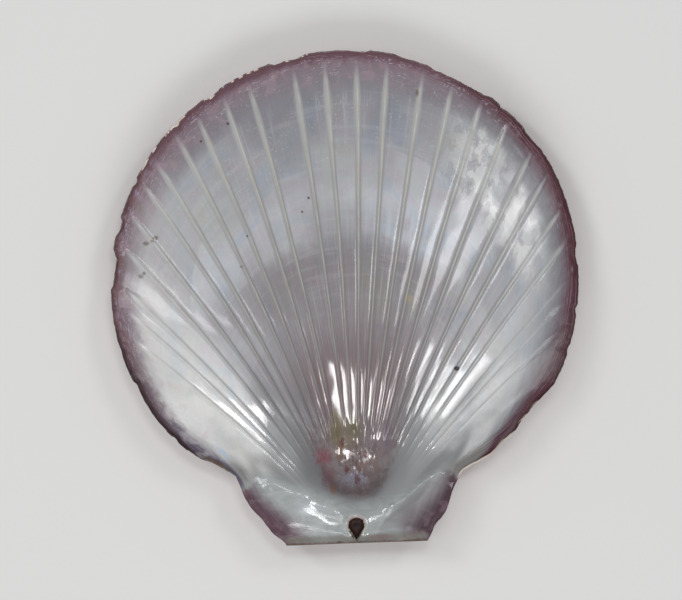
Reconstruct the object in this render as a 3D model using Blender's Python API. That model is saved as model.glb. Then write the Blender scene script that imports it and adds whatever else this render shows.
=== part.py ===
"""Scallop shell: one valve lying hollow side up, with the ligament pad in its hinge.

The valve is worked out in its own shell frame, in millimetres: the beak is at
the origin, the hinge line runs along X, +Y goes from the hinge to the far
(ventral) margin and +Z points out of the hollow.  It is then tipped onto its
belly, given the small worn flat that it rests on, and centred over the origin.

A place on the disc is given the way the shell grew: by the ray T it lies on,
in degrees from +Y at the margin, and by the growth fraction k, which is 0 at
the beak and 1 at the margin.
"""
import math

import bmesh
import bpy
import numpy as np
from mathutils import Matrix, Vector

MM = 0.001

# ---------------------------------------------------------------- dimensions
# Outline of the disc, a near-circle about DISC_CENTRE (mm)
DISC_CENTRE = (0.0, 42.5)
DISC_RADIUS = 39.8            # mean radius
DISC_LONG = 3.17              # longer towards the ventral margin
DISC_LEAN = -0.50             # left side fuller than the right
DISC_SQUARE = (-0.47, 0.35)   # second-order shape, even and odd

FLANK_LEFT = -59.4            # rays of the two straight flanks (degrees)
FLANK_RIGHT = 57.6
NOTCH_K = 0.71                # growth fraction where the ears leave the flanks
EAR_REACH = 12.1              # half length of the hinge line
EAR_CURVE = (1.45, 1.25)      # how the left and right ear edges sweep in

CUP_DEPTH = 8.3               # hollow below the rim plane at its deepest
CUP_UMBO = 0.12               # softens the rise at the beak
MARGIN_THICK = 0.60
DISC_THICK = 1.15
UMBO_THICK = 1.60
PLATE_Z = -0.55               # hinge plate and ears, just under the rim plane
PLATE_THICK = 1.15
PLATE_FRONT = 7.8             # the hinge plate ends here, over the umbo hollow
PLATE_SIDE = 51.0             # ray of the auricular ridge
PLATE_TIP = 21.0              # the ridge runs out to here
PLATE_WALL = 0.85             # slope of the wall down into the umbo hollow

# Inner ribs, paired, as rays at the margin (degrees)
RIBS_RIGHT = (1.95, 5.6, 10.0, 13.8, 17.9, 21.9, 26.2, 29.5, 33.6, 36.9, 40.9, 43.0, 46.0)
RIBS_LEFT = (-1.95, -5.7, -11.4, -14.8, -18.7, -22.0, -26.0, -29.0, -32.9, -36.6, -40.8, -43.2, -46.2)
RIB_HEIGHT = 0.50
RIB_HALF = 0.58               # half width, degrees: the ribs widen as they go out
RIB_FLARE = 0.15              # the ribs splay outwards as the shell grows
RIB_SHIFT = 1.3               # and start a little to the right of the beak

RIDGE_HEIGHT = 0.45           # auricular ridges between the disc and the ears
KNOB_HEIGHT = 0.35            # tubercle at the end of each ridge

# Ligament pit (resilifer) and the pad in it
PIT_WIDTH = 3.3
PIT_TOP = 4.7                 # from the hinge line to the pit's round end
PIT_TIP = 0.55                # and to its point
PIT_DEPTH = 1.15
PAD_GAP = 0.3
PAD_THICK = 0.62

REST_TILT = 2.4               # ventral margin tips down until the valve balances
FOOT_FLAT = 0.15              # depth of the worn flat on the belly

ROWS = (0.0, 0.035, 0.07, 0.105, 0.15, 0.20, 0.26, 0.33, 0.40, 0.45, 0.50, 0.55,
        0.62, 0.71, 0.80, 0.88, 0.94, 0.975, 1.0)
NOTCH_ROW = ROWS.index(NOTCH_K)
HUB_ROW = 3                   # inside this row the columns are thinned out
EAR_STEPS = 8


# ---------------------------------------------------------------- shell form
def smoothstep(a, b, x):
    t = np.clip((x - a) / (b - a), 0.0, 1.0)
    return t * t * (3.0 - 2.0 * t)


def smooth_max(a, b, r):
    """The larger of a and b, blended over a band of about r."""
    h = np.maximum(r - np.abs(a - b), 0.0) / r
    return np.maximum(a, b) + h * h * r * 0.25


def smooth_min(a, b, r):
    return -smooth_max(-a, -b, r)


def outline():
    """The disc's margin as (ray angle, distance) from the beak, left to right."""
    phi = np.radians(np.linspace(-150.0, 150.0, 601))
    r = (DISC_RADIUS + DISC_LONG * np.cos(phi) + DISC_LEAN * np.sin(phi)
         + DISC_SQUARE[0] * np.cos(2 * phi) + DISC_SQUARE[1] * np.sin(2 * phi))
    x = DISC_CENTRE[0] + r * np.sin(phi)
    y = DISC_CENTRE[1] + r * np.cos(phi)
    t = np.degrees(np.arctan2(x, y))
    first, last = int(np.argmin(t)), int(np.argmax(t))
    return t[first:last + 1], np.hypot(x, y)[first:last + 1]


OUT_T, OUT_R = outline()


def margin(t):
    return np.interp(t, OUT_T, OUT_R)


def ray(t, k):
    """The actual angle of growth ray t at fraction k, with flare and shift."""
    edge = FLANK_LEFT if t < 0 else FLANK_RIGHT
    free = 1.0 - abs(t / edge) ** 4
    return t + (RIB_SHIFT - RIB_FLARE * t) * (1.0 - k) * free


def hollow(y, k):
    """Depth of the inner face: a logarithmic-spiral section, 0 at the rim."""
    peak = 0.307
    return -CUP_DEPTH / peak * (y / 85.0) * np.log((1 + CUP_UMBO) / (k + CUP_UMBO))


def rib(t, k):
    """Height of a rib's crest: low in the umbo, full further out, with a short pointed tip."""
    tip = 0.98 - 0.055 * max(0.0, (abs(t) - 30.0) / 16.0) ** 1.5
    body = (0.45 + 0.55 * smoothstep(0.20, 0.60, k)) * smoothstep(0.14, 0.26, k)
    return RIB_HEIGHT * body * np.clip((tip - k) / 0.05, 0.0, 1.0) ** 0.8


def faces_z(x, y, k):
    """Heights of the inner and outer faces at a place with growth fraction k."""
    r = math.hypot(x, y)
    a = math.degrees(math.atan2(abs(x), y)) if r > 1e-9 else 0.0
    cup = float(hollow(y, k))
    # how far inside the umbo hollow the place lies, negative on the hinge plate
    side = r * math.sin(math.radians(PLATE_SIDE - a))
    inside = smooth_max(smooth_min(y - PLATE_FRONT, side, 2.0), r - PLATE_TIP, 2.0)
    plate = PLATE_Z - PLATE_WALL * max(0.0, float(inside))
    inner = float(smooth_max(cup, plate, 0.6))
    # auricular ridge along the hollow's upper edge, ending in a knob
    if a < 75.0:
        across = math.exp(-(side / 0.8) ** 2)
        along = float(smoothstep(6.0, 9.5, r) * (1.0 - smoothstep(19.0, 21.5, r)))
        knob = math.exp(-((r - 19.3) / 1.0) ** 2)
        inner += across * (RIDGE_HEIGHT * along + KNOB_HEIGHT * knob)
    thick = MARGIN_THICK + (DISC_THICK - MARGIN_THICK) * float(smoothstep(1.0, 0.80, k))
    thick += (UMBO_THICK - DISC_THICK) * float(smoothstep(0.30, 0.10, k))
    plate_out = PLATE_Z - PLATE_THICK + (PLATE_THICK - MARGIN_THICK) * float(smoothstep(NOTCH_K, 1.0, k))
    outer = float(smooth_min(cup - thick, plate_out, 0.6)) if k < 0.999 else cup - thick
    weight = float(smoothstep(1.0, 0.85, k))
    outer = weight * outer + (1.0 - weight) * (cup - thick)
    return inner, outer


# ---------------------------------------------------------------- the sheet
def columns():
    """Growth rays that carry a column of the mesh: (ray, 1 on a rib's crest)."""
    cols = []
    ribs = sorted(RIBS_LEFT + RIBS_RIGHT)
    for i, t in enumerate(ribs):
        if i:
            cols.append(((ribs[i - 1] + t) / 2, 0))
        cols += [(t - RIB_HALF, 0), (t, 1), (t + RIB_HALF, 0)]
    left = [(FLANK_LEFT + (ribs[0] - RIB_HALF - FLANK_LEFT) * f, 0) for f in (0, .1, .25, .42, .6, .8)]
    right = [(FLANK_RIGHT + (ribs[-1] + RIB_HALF - FLANK_RIGHT) * f, 0) for f in (.8, .6, .42, .25, .1, 0)]
    return left + cols + right


def grid(bm, nx, ny):
    """A flat grid of nx by ny cells; returns its vertices as [column][row]."""
    made = bmesh.ops.create_grid(bm, x_segments=nx, y_segments=ny, size=0.5)["verts"]
    table = [[None] * (ny + 1) for _ in range(nx + 1)]
    for v in made:
        table[round((v.co.x + 0.5) * nx)][round((v.co.y + 0.5) * ny)] = v
    return table


def place(v, x, y, k, lift, info):
    inner, outer = faces_z(x, y, k)
    v.co = Vector((x, y, inner + lift))
    v[info["outer"]] = outer


def build_valve():
    bm = bmesh.new()
    info = {"outer": bm.verts.layers.float.new("outer_z"),
            "col": bm.verts.layers.int.new("column"),
            "row": bm.verts.layers.int.new("row")}
    cols = columns()

    # the disc, one column of cells to each growth ray
    table = grid(bm, len(cols) - 1, len(ROWS) - 1)
    for c, (t, crest) in enumerate(cols):
        reach = float(margin(t))
        for r, k in enumerate(ROWS):
            v = table[c][r]
            a = math.radians(ray(t, k))
            x, y = k * reach * math.sin(a), k * reach * math.cos(a)
            place(v, x, y, k, float(rib(t, k)) if crest else 0.0, info)
            v[info["col"]], v[info["row"]] = c, r

    # the two ears, fans between each flank and the hinge line
    for edge, sign, power in ((FLANK_LEFT, -1, EAR_CURVE[0]), (FLANK_RIGHT, 1, EAR_CURVE[1])):
        notch = NOTCH_K * float(margin(edge))
        table = grid(bm, EAR_STEPS, NOTCH_ROW)
        for c in range(EAR_STEPS + 1):
            f = c / EAR_STEPS
            a = math.radians(edge + (sign * 90.0 - edge) * f)
            reach = EAR_REACH + (notch - EAR_REACH) * (1.0 - f) ** power
            for r in range(NOTCH_ROW + 1):
                s = ROWS[r] / NOTCH_K
                x, y = s * reach * math.sin(a), max(0.0, s * reach * math.cos(a))
                v = table[c][r]
                place(v, x, y, ROWS[r], 0.0, info)
                v[info["col"]], v[info["row"]] = 1000 * sign + c, r
        if sign < 0:
            bmesh.ops.reverse_faces(bm, faces=list({f for col in table for v in col for f in v.link_faces}))
    bmesh.ops.remove_doubles(bm, verts=bm.verts, dist=1e-4)

    # near the beak the rays crowd together: keep every fourth
    def thin(keep, rows, verts=None):
        edges = [e for e in bm.edges if (verts is None or (e.verts[0] in verts and e.verts[1] in verts))
                 and e.verts[0][info["col"]] == e.verts[1][info["col"]] or
                 (verts is None and min(v[info["row"]] for v in e.verts) == 0
                  and max(v[info["row"]] for v in e.verts) == 1)]
        drop = []
        for e in edges:
            far = max(e.verts, key=lambda v: v[info["row"]])
            near = min(e.verts, key=lambda v: v[info["row"]])
            c, r = far[info["col"]], far[info["row"]]
            if near[info["row"]] == r or not 0 < c < len(cols) - 1 or c % keep == 0:
                continue
            if rows[0] < r <= rows[1]:
                drop.append(e)
        bmesh.ops.dissolve_edges(bm, edges=drop, use_verts=True)

    thin(4, (0, HUB_ROW))

    # give the sheet its thickness: the copy below becomes the outer face
    bmesh.ops.recalc_face_normals(bm, faces=bm.faces)
    bm.faces.ensure_lookup_table()
    up = sum(f.normal.z for f in bm.faces)
    if up < 0:
        bmesh.ops.reverse_faces(bm, faces=bm.faces)
    made = bmesh.ops.extrude_face_region(bm, geom=list(bm.faces), use_keep_orig=True)
    lower = {g for g in made["geom"] if isinstance(g, bmesh.types.BMVert)}
    for v in lower:
        v.co.z = v[info["outer"]]
    # the outer face has no ribs, so it needs only every other ray
    thin(2, (HUB_ROW, len(ROWS) - 2), lower)
    bmesh.ops.recalc_face_normals(bm, faces=bm.faces)

    # tip the valve onto its belly and give it the flat that it rests on
    bmesh.ops.rotate(bm, verts=bm.verts, cent=(0, 0, 0),
                     matrix=Matrix.Rotation(-math.radians(REST_TILT), 3, "X"))
    floor = min(v.co.z for v in bm.verts) + FOOT_FLAT
    for v in bm.verts:
        v.co.z = max(v.co.z, floor)
    return bm, floor


def teardrop(shrink):
    """Outline of the ligament pit in the shell frame, drawn in by shrink."""
    half = PIT_WIDTH / 2
    cy = PIT_TOP - half
    pts = []
    for i in range(13):                       # the round end
        a = math.radians(-20.0 + i * 220.0 / 12.0)
        pts.append((half * math.cos(a), cy + half * math.sin(a)))
    pts.append((0.0, PIT_TIP))
    return [(x * (half - shrink) / half, cy + (y - cy) * (half - shrink) / half) for x, y in pts]


def prism(name, pts, low, high, matrix):
    """An upright solid on a closed outline, from a filled 2D curve."""
    curve = bpy.data.curves.new(name, "CURVE")
    curve.dimensions = "2D"
    curve.fill_mode = "BOTH"
    curve.extrude = (high - low) / 2 * MM
    spline = curve.splines.new("POLY")
    spline.points.add(len(pts) - 1)
    for p, (x, y) in zip(spline.points, pts):
        p.co = (x * MM, y * MM, 0.0, 1.0)
    spline.use_cyclic_u = True
    temp = bpy.data.objects.new(name + "_curve", curve)
    bpy.context.scene.collection.objects.link(temp)
    temp.matrix_world = matrix @ Matrix.Translation((0, 0, (low + high) / 2 * MM))
    bpy.context.view_layer.update()
    mesh = bpy.data.meshes.new_from_object(temp.evaluated_get(bpy.context.evaluated_depsgraph_get()))
    mesh.transform(temp.matrix_world)
    bpy.data.objects.remove(temp)
    bm = bmesh.new()
    bm.from_mesh(mesh)
    bmesh.ops.remove_doubles(bm, verts=bm.verts, dist=1e-7)
    bmesh.ops.recalc_face_normals(bm, faces=bm.faces)
    bm.to_mesh(mesh)
    bm.free()
    mesh.name = name
    return bpy.data.objects.new(name, mesh)


def material(name, colour, roughness, coat=0.0):
    mat = bpy.data.materials.new(name)
    mat.use_nodes = True
    shader = mat.node_tree.nodes["Principled BSDF"]
    shader.inputs["Base Color"].default_value = (*colour, 1.0)
    shader.inputs["Roughness"].default_value = roughness
    shader.inputs["Metallic"].default_value = 0.0
    shader.inputs["Coat Weight"].default_value = coat
    return mat


def main():
    for obj in list(bpy.data.objects):
        bpy.data.objects.remove(obj, do_unlink=True)
    parts = bpy.data.collections.new("scallop_shell")
    cutters = bpy.data.collections.new("scallop_shell_cutters")
    bpy.context.scene.collection.children.link(parts)
    bpy.context.scene.collection.children.link(cutters)

    bm, floor = build_valve()
    xs = [v.co.x for v in bm.verts]
    ys = [v.co.y for v in bm.verts]
    shift = Vector((-(min(xs) + max(xs)) / 2, -(min(ys) + max(ys)) / 2, -floor))
    bmesh.ops.translate(bm, verts=bm.verts, vec=shift)
    bmesh.ops.scale(bm, verts=bm.verts, vec=(MM, MM, MM))
    bmesh.ops.triangulate(bm, faces=[f for f in bm.faces if len(f.verts) > 4])
    mesh = bpy.data.meshes.new("valve")
    bm.to_mesh(mesh)
    bm.free()
    mesh.shade_smooth()
    mesh.set_sharp_from_angle(angle=math.radians(40))
    valve = bpy.data.objects.new("valve", mesh)
    parts.objects.link(valve)
    mesh.materials.append(material("shell_pearl", (0.62, 0.58, 0.58), 0.28, 0.4))

    # the pit and its pad lie square to the hinge plate, tipped with the valve
    seat = (Matrix.Translation(shift * MM)
            @ Matrix.Rotation(-math.radians(REST_TILT), 4, "X"))
    cutter = prism("pit_cutter", teardrop(0.0), PLATE_Z - PIT_DEPTH, PLATE_Z + 2.0, seat)
    cutters.objects.link(cutter)
    cutter.hide_render = True
    cutter.display_type = "WIRE"
    cut = valve.modifiers.new("ligament_pit", "BOOLEAN")
    cut.operation = "DIFFERENCE"
    cut.solver = "EXACT"
    cut.object = cutter

    pad_low = PLATE_Z - PIT_DEPTH + PAD_GAP
    pad = prism("ligament", teardrop(PAD_GAP), pad_low, pad_low + PAD_THICK, seat)
    parts.objects.link(pad)
    pad.data.materials.append(material("ligament_brown", (0.035, 0.016, 0.012), 0.35))


main()
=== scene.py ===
"""Looks of the scallop shell: one pearly valve, hollow side up, with its ligament pad.

The valve is rebuilt here as a fine mesh on the CAD valve's own form. A place on
the disc is given by the growth ray T that it lies on (degrees from +Y at the
margin) and the growth fraction k (0 at the beak, 1 at the margin).
"""
import math

import bpy
import numpy as np
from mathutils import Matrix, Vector, kdtree


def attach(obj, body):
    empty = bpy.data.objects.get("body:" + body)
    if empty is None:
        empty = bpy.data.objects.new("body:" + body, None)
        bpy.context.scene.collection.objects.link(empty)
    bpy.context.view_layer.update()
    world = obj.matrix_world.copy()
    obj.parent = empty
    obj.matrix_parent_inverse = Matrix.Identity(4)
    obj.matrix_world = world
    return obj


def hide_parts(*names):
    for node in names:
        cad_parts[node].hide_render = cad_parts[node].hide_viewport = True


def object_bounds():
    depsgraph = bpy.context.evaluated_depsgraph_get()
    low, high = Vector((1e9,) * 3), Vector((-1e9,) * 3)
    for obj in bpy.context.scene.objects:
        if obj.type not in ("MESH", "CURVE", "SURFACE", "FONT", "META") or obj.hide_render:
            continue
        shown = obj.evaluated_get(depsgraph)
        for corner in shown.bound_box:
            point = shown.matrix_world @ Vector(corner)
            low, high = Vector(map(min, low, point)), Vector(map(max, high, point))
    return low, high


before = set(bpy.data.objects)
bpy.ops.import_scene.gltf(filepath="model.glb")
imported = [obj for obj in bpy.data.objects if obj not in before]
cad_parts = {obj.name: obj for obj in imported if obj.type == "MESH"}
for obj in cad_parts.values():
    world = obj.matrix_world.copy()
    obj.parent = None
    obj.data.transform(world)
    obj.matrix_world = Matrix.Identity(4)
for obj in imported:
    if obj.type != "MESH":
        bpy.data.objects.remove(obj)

CAD_LOW, CAD_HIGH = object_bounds()
MM = 0.001

# ============================================================ the form, in mm
# Shell frame: beak at the origin, hinge line along X, +Y to the far margin, +Z out of the hollow
DISC_CENTRE = (0.0, 42.5)
DISC_RADIUS, DISC_LONG, DISC_LEAN, DISC_SQUARE = 39.8, 3.17, -0.50, (-0.47, 0.35)
FLANK_LEFT, FLANK_RIGHT, NOTCH_K = -59.4, 57.6, 0.71
EAR_REACH, EAR_CURVE = 12.1, (1.45, 1.25)
CUP_DEPTH, CUP_UMBO = 8.3, 0.12
MARGIN_THICK, DISC_THICK, UMBO_THICK = 0.60, 1.15, 1.60
PLATE_Z, PLATE_THICK = -0.55, 1.15
RIBS = (-46.2, -43.2, -40.8, -36.6, -32.9, -29.0, -26.0, -22.0, -18.7, -14.8, -11.4, -5.7, -1.95,
        1.95, 5.6, 10.0, 13.8, 17.9, 21.9, 26.2, 29.5, 33.6, 36.9, 40.9, 43.0, 46.0)
RIB_SIZE = (0.55, 0.8, 0.95, 1, 1, 1, 1, 1, 1, 1, 1, 1, 1,
            1, 1, 1, 1, 1, 1, 1, 1, 0.95, 0.7, 0.38, 0.27, 0.16)
RIB_HALF, RIB_FLARE, RIB_SHIFT = 0.54, 0.15, 1.3
PIT_WIDTH, PIT_TOP, PIT_TIP, PIT_DEPTH = 2.95, 4.55, 0.35, 1.15
# The valve rests tipped a little towards the far margin; the shift centres it on the part's origin
REST_TILT, SHIFT = 2.4, (0.4441, -42.4249, 10.8066)

# Chips and swells of the rim: (bearing about the disc's centre, mm proud)
RIM_WEAR = (
    (-176, 0), (-166, .38), (-160, .34), (-157, .08), (-155, .19), (-153, .36), (-151, .28), (-148, 0), (-145, -.12),
    (-139, -.18), (-137, .06), (-135.5, .17), (-133, 0), (-131, -.1), (-129, 0), (-127.5, -.28), (-126.5, 0), (-122, .12),
    (-116, 0), (-112.5, -.15), (-110.8, -.36), (-109.6, .02), (-104, .1), (-101, -.05), (-99.5, .1), (-90, .0),
    (-86.6, 0), (-85.4, -.4), (-83, -.62), (-79, -.78), (-76.8, 0), (-74, 0), (-71.5, -.44), (-69.8, -.42), (-68.8, 0),
    (-61.2, .03), (-60.4, -.24), (-59.4, -.22), (-58.8, .05), (-51, .15), (-44, .1), (-43, -.28), (-42, .08), (-34, 0),
    (-33, -.52), (-31.5, -.35), (-29.5, 0), (-20, .03), (-16.8, .02), (-15.6, -.52), (-13, -.33), (-10.3, -.48), (-8, .05),
    (-1, .02), (1, 0), (2, -.13), (6, -.2), (7, .1), (13, .08), (14.4, -.2), (21, -.3), (23, -.63), (26, -.68),
    (32, -.57), (36, -.34), (38, .12), (40, .1), (41, -.28), (42.4, 0), (48, .05), (49.4, -.2), (52, -.24), (54.5, .05),
    (60, .1), (69, -.1), (79, -.15), (80.8, -.5), (82.5, -.55), (85, -.2), (94, -.03), (95.3, -.33), (97, .02), (102, .2),
    (104, .25), (105.5, .05), (107, .4), (115, .45), (118, .05), (120, -.25), (122.5, -.58), (128.5, -.55), (130.5, -.25),
    (133, -.12), (135.5, -.26), (138, .35), (140, .52), (142, .42), (144, .30), (146, .12), (148, .04), (149.2, -.2),
    (150.5, -.62), (152, -.87), (154, -.87), (156, -.61), (158, -.37), (160, -.64), (163, -.72), (168, -.70), (176, 0))


def smoothstep(a, b, x):
    t = np.clip((x - a) / (b - a), 0.0, 1.0)
    return t * t * (3.0 - 2.0 * t)


def smooth_max(a, b, r):
    h = np.maximum(r - np.abs(a - b), 0.0) / r
    return np.maximum(a, b) + h * h * r * 0.25


def smooth_min(a, b, r):
    return -smooth_max(-a, -b, r)


def bell(x, width):
    return np.exp(-(x / width) ** 2)


def value_noise(x, y, scale, seed):
    """Smooth noise of about -1 to 1 with features of the given size."""
    table = np.random.default_rng(seed).uniform(-1.0, 1.0, (256, 256))
    u, v = np.asarray(x) / scale + 512.0, np.asarray(y) / scale + 512.0
    i, j = np.floor(u).astype(int), np.floor(v).astype(int)
    a, b = u - i, v - j
    a, b = a * a * (3 - 2 * a), b * b * (3 - 2 * b)
    i0, i1, j0, j1 = i % 256, (i + 1) % 256, j % 256, (j + 1) % 256
    return ((table[i0, j0] * (1 - a) + table[i1, j0] * a) * (1 - b)
            + (table[i0, j1] * (1 - a) + table[i1, j1] * a) * b)


def outline():
    """The disc's margin as (ray angle, distance) from the beak, left to right."""
    phi = np.radians(np.linspace(-150.0, 150.0, 1201))
    r = (DISC_RADIUS + DISC_LONG * np.cos(phi) + DISC_LEAN * np.sin(phi)
         + DISC_SQUARE[0] * np.cos(2 * phi) + DISC_SQUARE[1] * np.sin(2 * phi))
    x = DISC_CENTRE[0] + r * np.sin(phi)
    y = DISC_CENTRE[1] + r * np.cos(phi)
    t = np.degrees(np.arctan2(x, y))
    first, last = int(np.argmin(t)), int(np.argmax(t))
    return t[first:last + 1], np.hypot(x, y)[first:last + 1]


OUT_T, OUT_R = outline()


def ray(t, k):
    """The actual angle of growth ray t at fraction k: the rays splay as the shell grows."""
    edge = np.where(t < 0, FLANK_LEFT, FLANK_RIGHT)
    return t + (RIB_SHIFT - RIB_FLARE * t) * (1.0 - k) * (1.0 - np.abs(t / edge) ** 4)


def hollow(y, k):
    return -CUP_DEPTH / 0.307 * (y / 85.0) * np.log((1 + CUP_UMBO) / (k + CUP_UMBO))


def into_hollow(x, y):
    """Distance from the auricular ridge's line; positive inside the hollow."""
    right = -(x - 5.9) * 0.5866 + (y - 5.8) * 0.81
    left = -(-x - 4.4) * 0.509 + (y - 6.3) * 0.861
    return np.where(x > 0, right, left)


def ribs(t, k):
    """Relief of the ribs, how much a place lies on one (0 to 1), and its place across it."""
    relief, mask, across = np.zeros_like(t), np.zeros_like(t), np.full_like(t, 3.0)
    for n, (c, size) in enumerate(zip(RIBS, RIB_SIZE)):
        tip = 0.978 - 0.055 * max(0.0, (abs(c) - 30.0) / 16.0) ** 1.5
        near = smoothstep(0.0, 0.07, tip - k)
        half = RIB_HALF * (0.55 + 0.45 * near) * (1.0 + 0.10 * value_noise(k * 60 + 17 * n, t * 0, 3.0, 50 + n))
        half = half * (1.0 + 0.30 * smoothstep(0.50, 0.25, k))
        lean = (t - c - 0.06 * value_noise(k * 40 + 9 * n, t * 0, 5.0, 90 + n)) / half
        u = np.abs(lean)
        across = np.where(u < np.abs(across), np.clip(lean, -3.0, 3.0), across)
        rod = 0.7 * np.clip(1.0 - (u / 1.25) ** 2, 0.0, 1.0) ** 2 + 0.3 * np.clip(1.0 - u / 0.55, 0.0, 1.0)
        start = smoothstep(14.0, 30.0, np.abs(c))
        body = smoothstep(0.19 + 0.02 * start, 0.33 + 0.05 * start, k)
        body = body * (1.0 - 0.45 * bell(c + 2.0, 5.0) * (1.0 - smoothstep(0.34, 0.42, k)))
        body = body * np.interp(k, (0.1, 0.3, 0.5, 0.62, 0.8, 1.0), (0.16, 0.21, 0.25, 0.22, 0.17, 0.14))
        body = body * np.clip((tip - k) / 0.06, 0.0, 1.0) * (1.0 + 0.15 * value_noise(k * 50 + 31 * n, t * 0, 2.5, 130 + n))
        relief = np.maximum(relief, size * body * rod)
        fade = np.clip((tip + 0.006 - k) / 0.04, 0.0, 1.0) * smoothstep(0.22 + 0.02 * start, 0.40, k)
        mask = np.maximum(mask, (0.35 + 0.65 * size) * fade * (1.0 - smoothstep(0.45, 1.15, u)))
    return relief, mask, across


def flutes(t, k):
    """Shallow troughs between neighbouring ribs, deepest near the umbo."""
    out = np.zeros_like(t)
    for a, b in zip(RIBS[:-1], RIBS[1:]):
        f = np.clip((t - a) / (b - a), 0, 1)
        out = out - 0.078 * (b - a) / 3.8 * np.sin(np.pi * f) ** 2
    share = np.interp(t, (-60, -33, -26, -14, -11, -1, 3, 16, 24, 40), (0.10, 0.16, 0.5, 0.35, 0.06, 0.06, 0.6, 0.7, 0.28, 0.16))
    return out * share * np.interp(k, (0.14, 0.26, 0.36, 0.50, 0.85), (0.0, 1.0, 1.0, 0.8, 0.15))


def teardrop(half, top, tip, n=40):
    """Outline of the ligament pit, round towards the disc and pointed at the hinge."""
    cy = top - half
    ang = np.radians(np.linspace(-22.0, 202.0, n))
    xs, ys = half * np.cos(ang), cy + half * np.sin(ang)
    f = np.linspace(0.0, 1.0, 10)[1:]
    lx, ly = xs[-1] * (1 - f), ys[-1] + (tip - ys[-1]) * f
    rx, ry = xs[0] * f[:-1], tip + (ys[0] - tip) * f[:-1]
    return np.concatenate([xs, lx, rx]), np.concatenate([ys, ly, ry])


PIT_X, PIT_Y = teardrop(PIT_WIDTH / 2, PIT_TOP, PIT_TIP)


def pit_field(x, y):
    """Distance to the pit's outline, negative inside, and the nearest place on it."""
    out, px, py = np.full(x.shape, 9.0), x.copy(), y.copy()
    near = (np.abs(x) < 4.0) & (y < 7.5)
    qx, qy = x[near], y[near]
    best, nx, ny = np.full(qx.shape, 1e9), qx.copy(), qy.copy()
    inside = np.zeros(qx.shape, bool)
    for x0, y0, x1, y1 in zip(PIT_X, PIT_Y, np.roll(PIT_X, -1), np.roll(PIT_Y, -1)):
        dx, dy = x1 - x0, y1 - y0
        h = np.clip(((qx - x0) * dx + (qy - y0) * dy) / (dx * dx + dy * dy + 1e-12), 0, 1)
        cx, cy = x0 + h * dx, y0 + h * dy
        d = np.hypot(qx - cx, qy - cy)
        nx, ny, best = np.where(d < best, cx, nx), np.where(d < best, cy, ny), np.minimum(best, d)
        inside ^= ((y0 > qy) != (y1 > qy)) & (qx < (x1 - x0) * (qy - y0) / (y1 - y0 + 1e-12) + x0)
    out[near], px[near], py[near] = np.where(inside, -best, best), nx, ny
    return out, px, py


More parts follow.
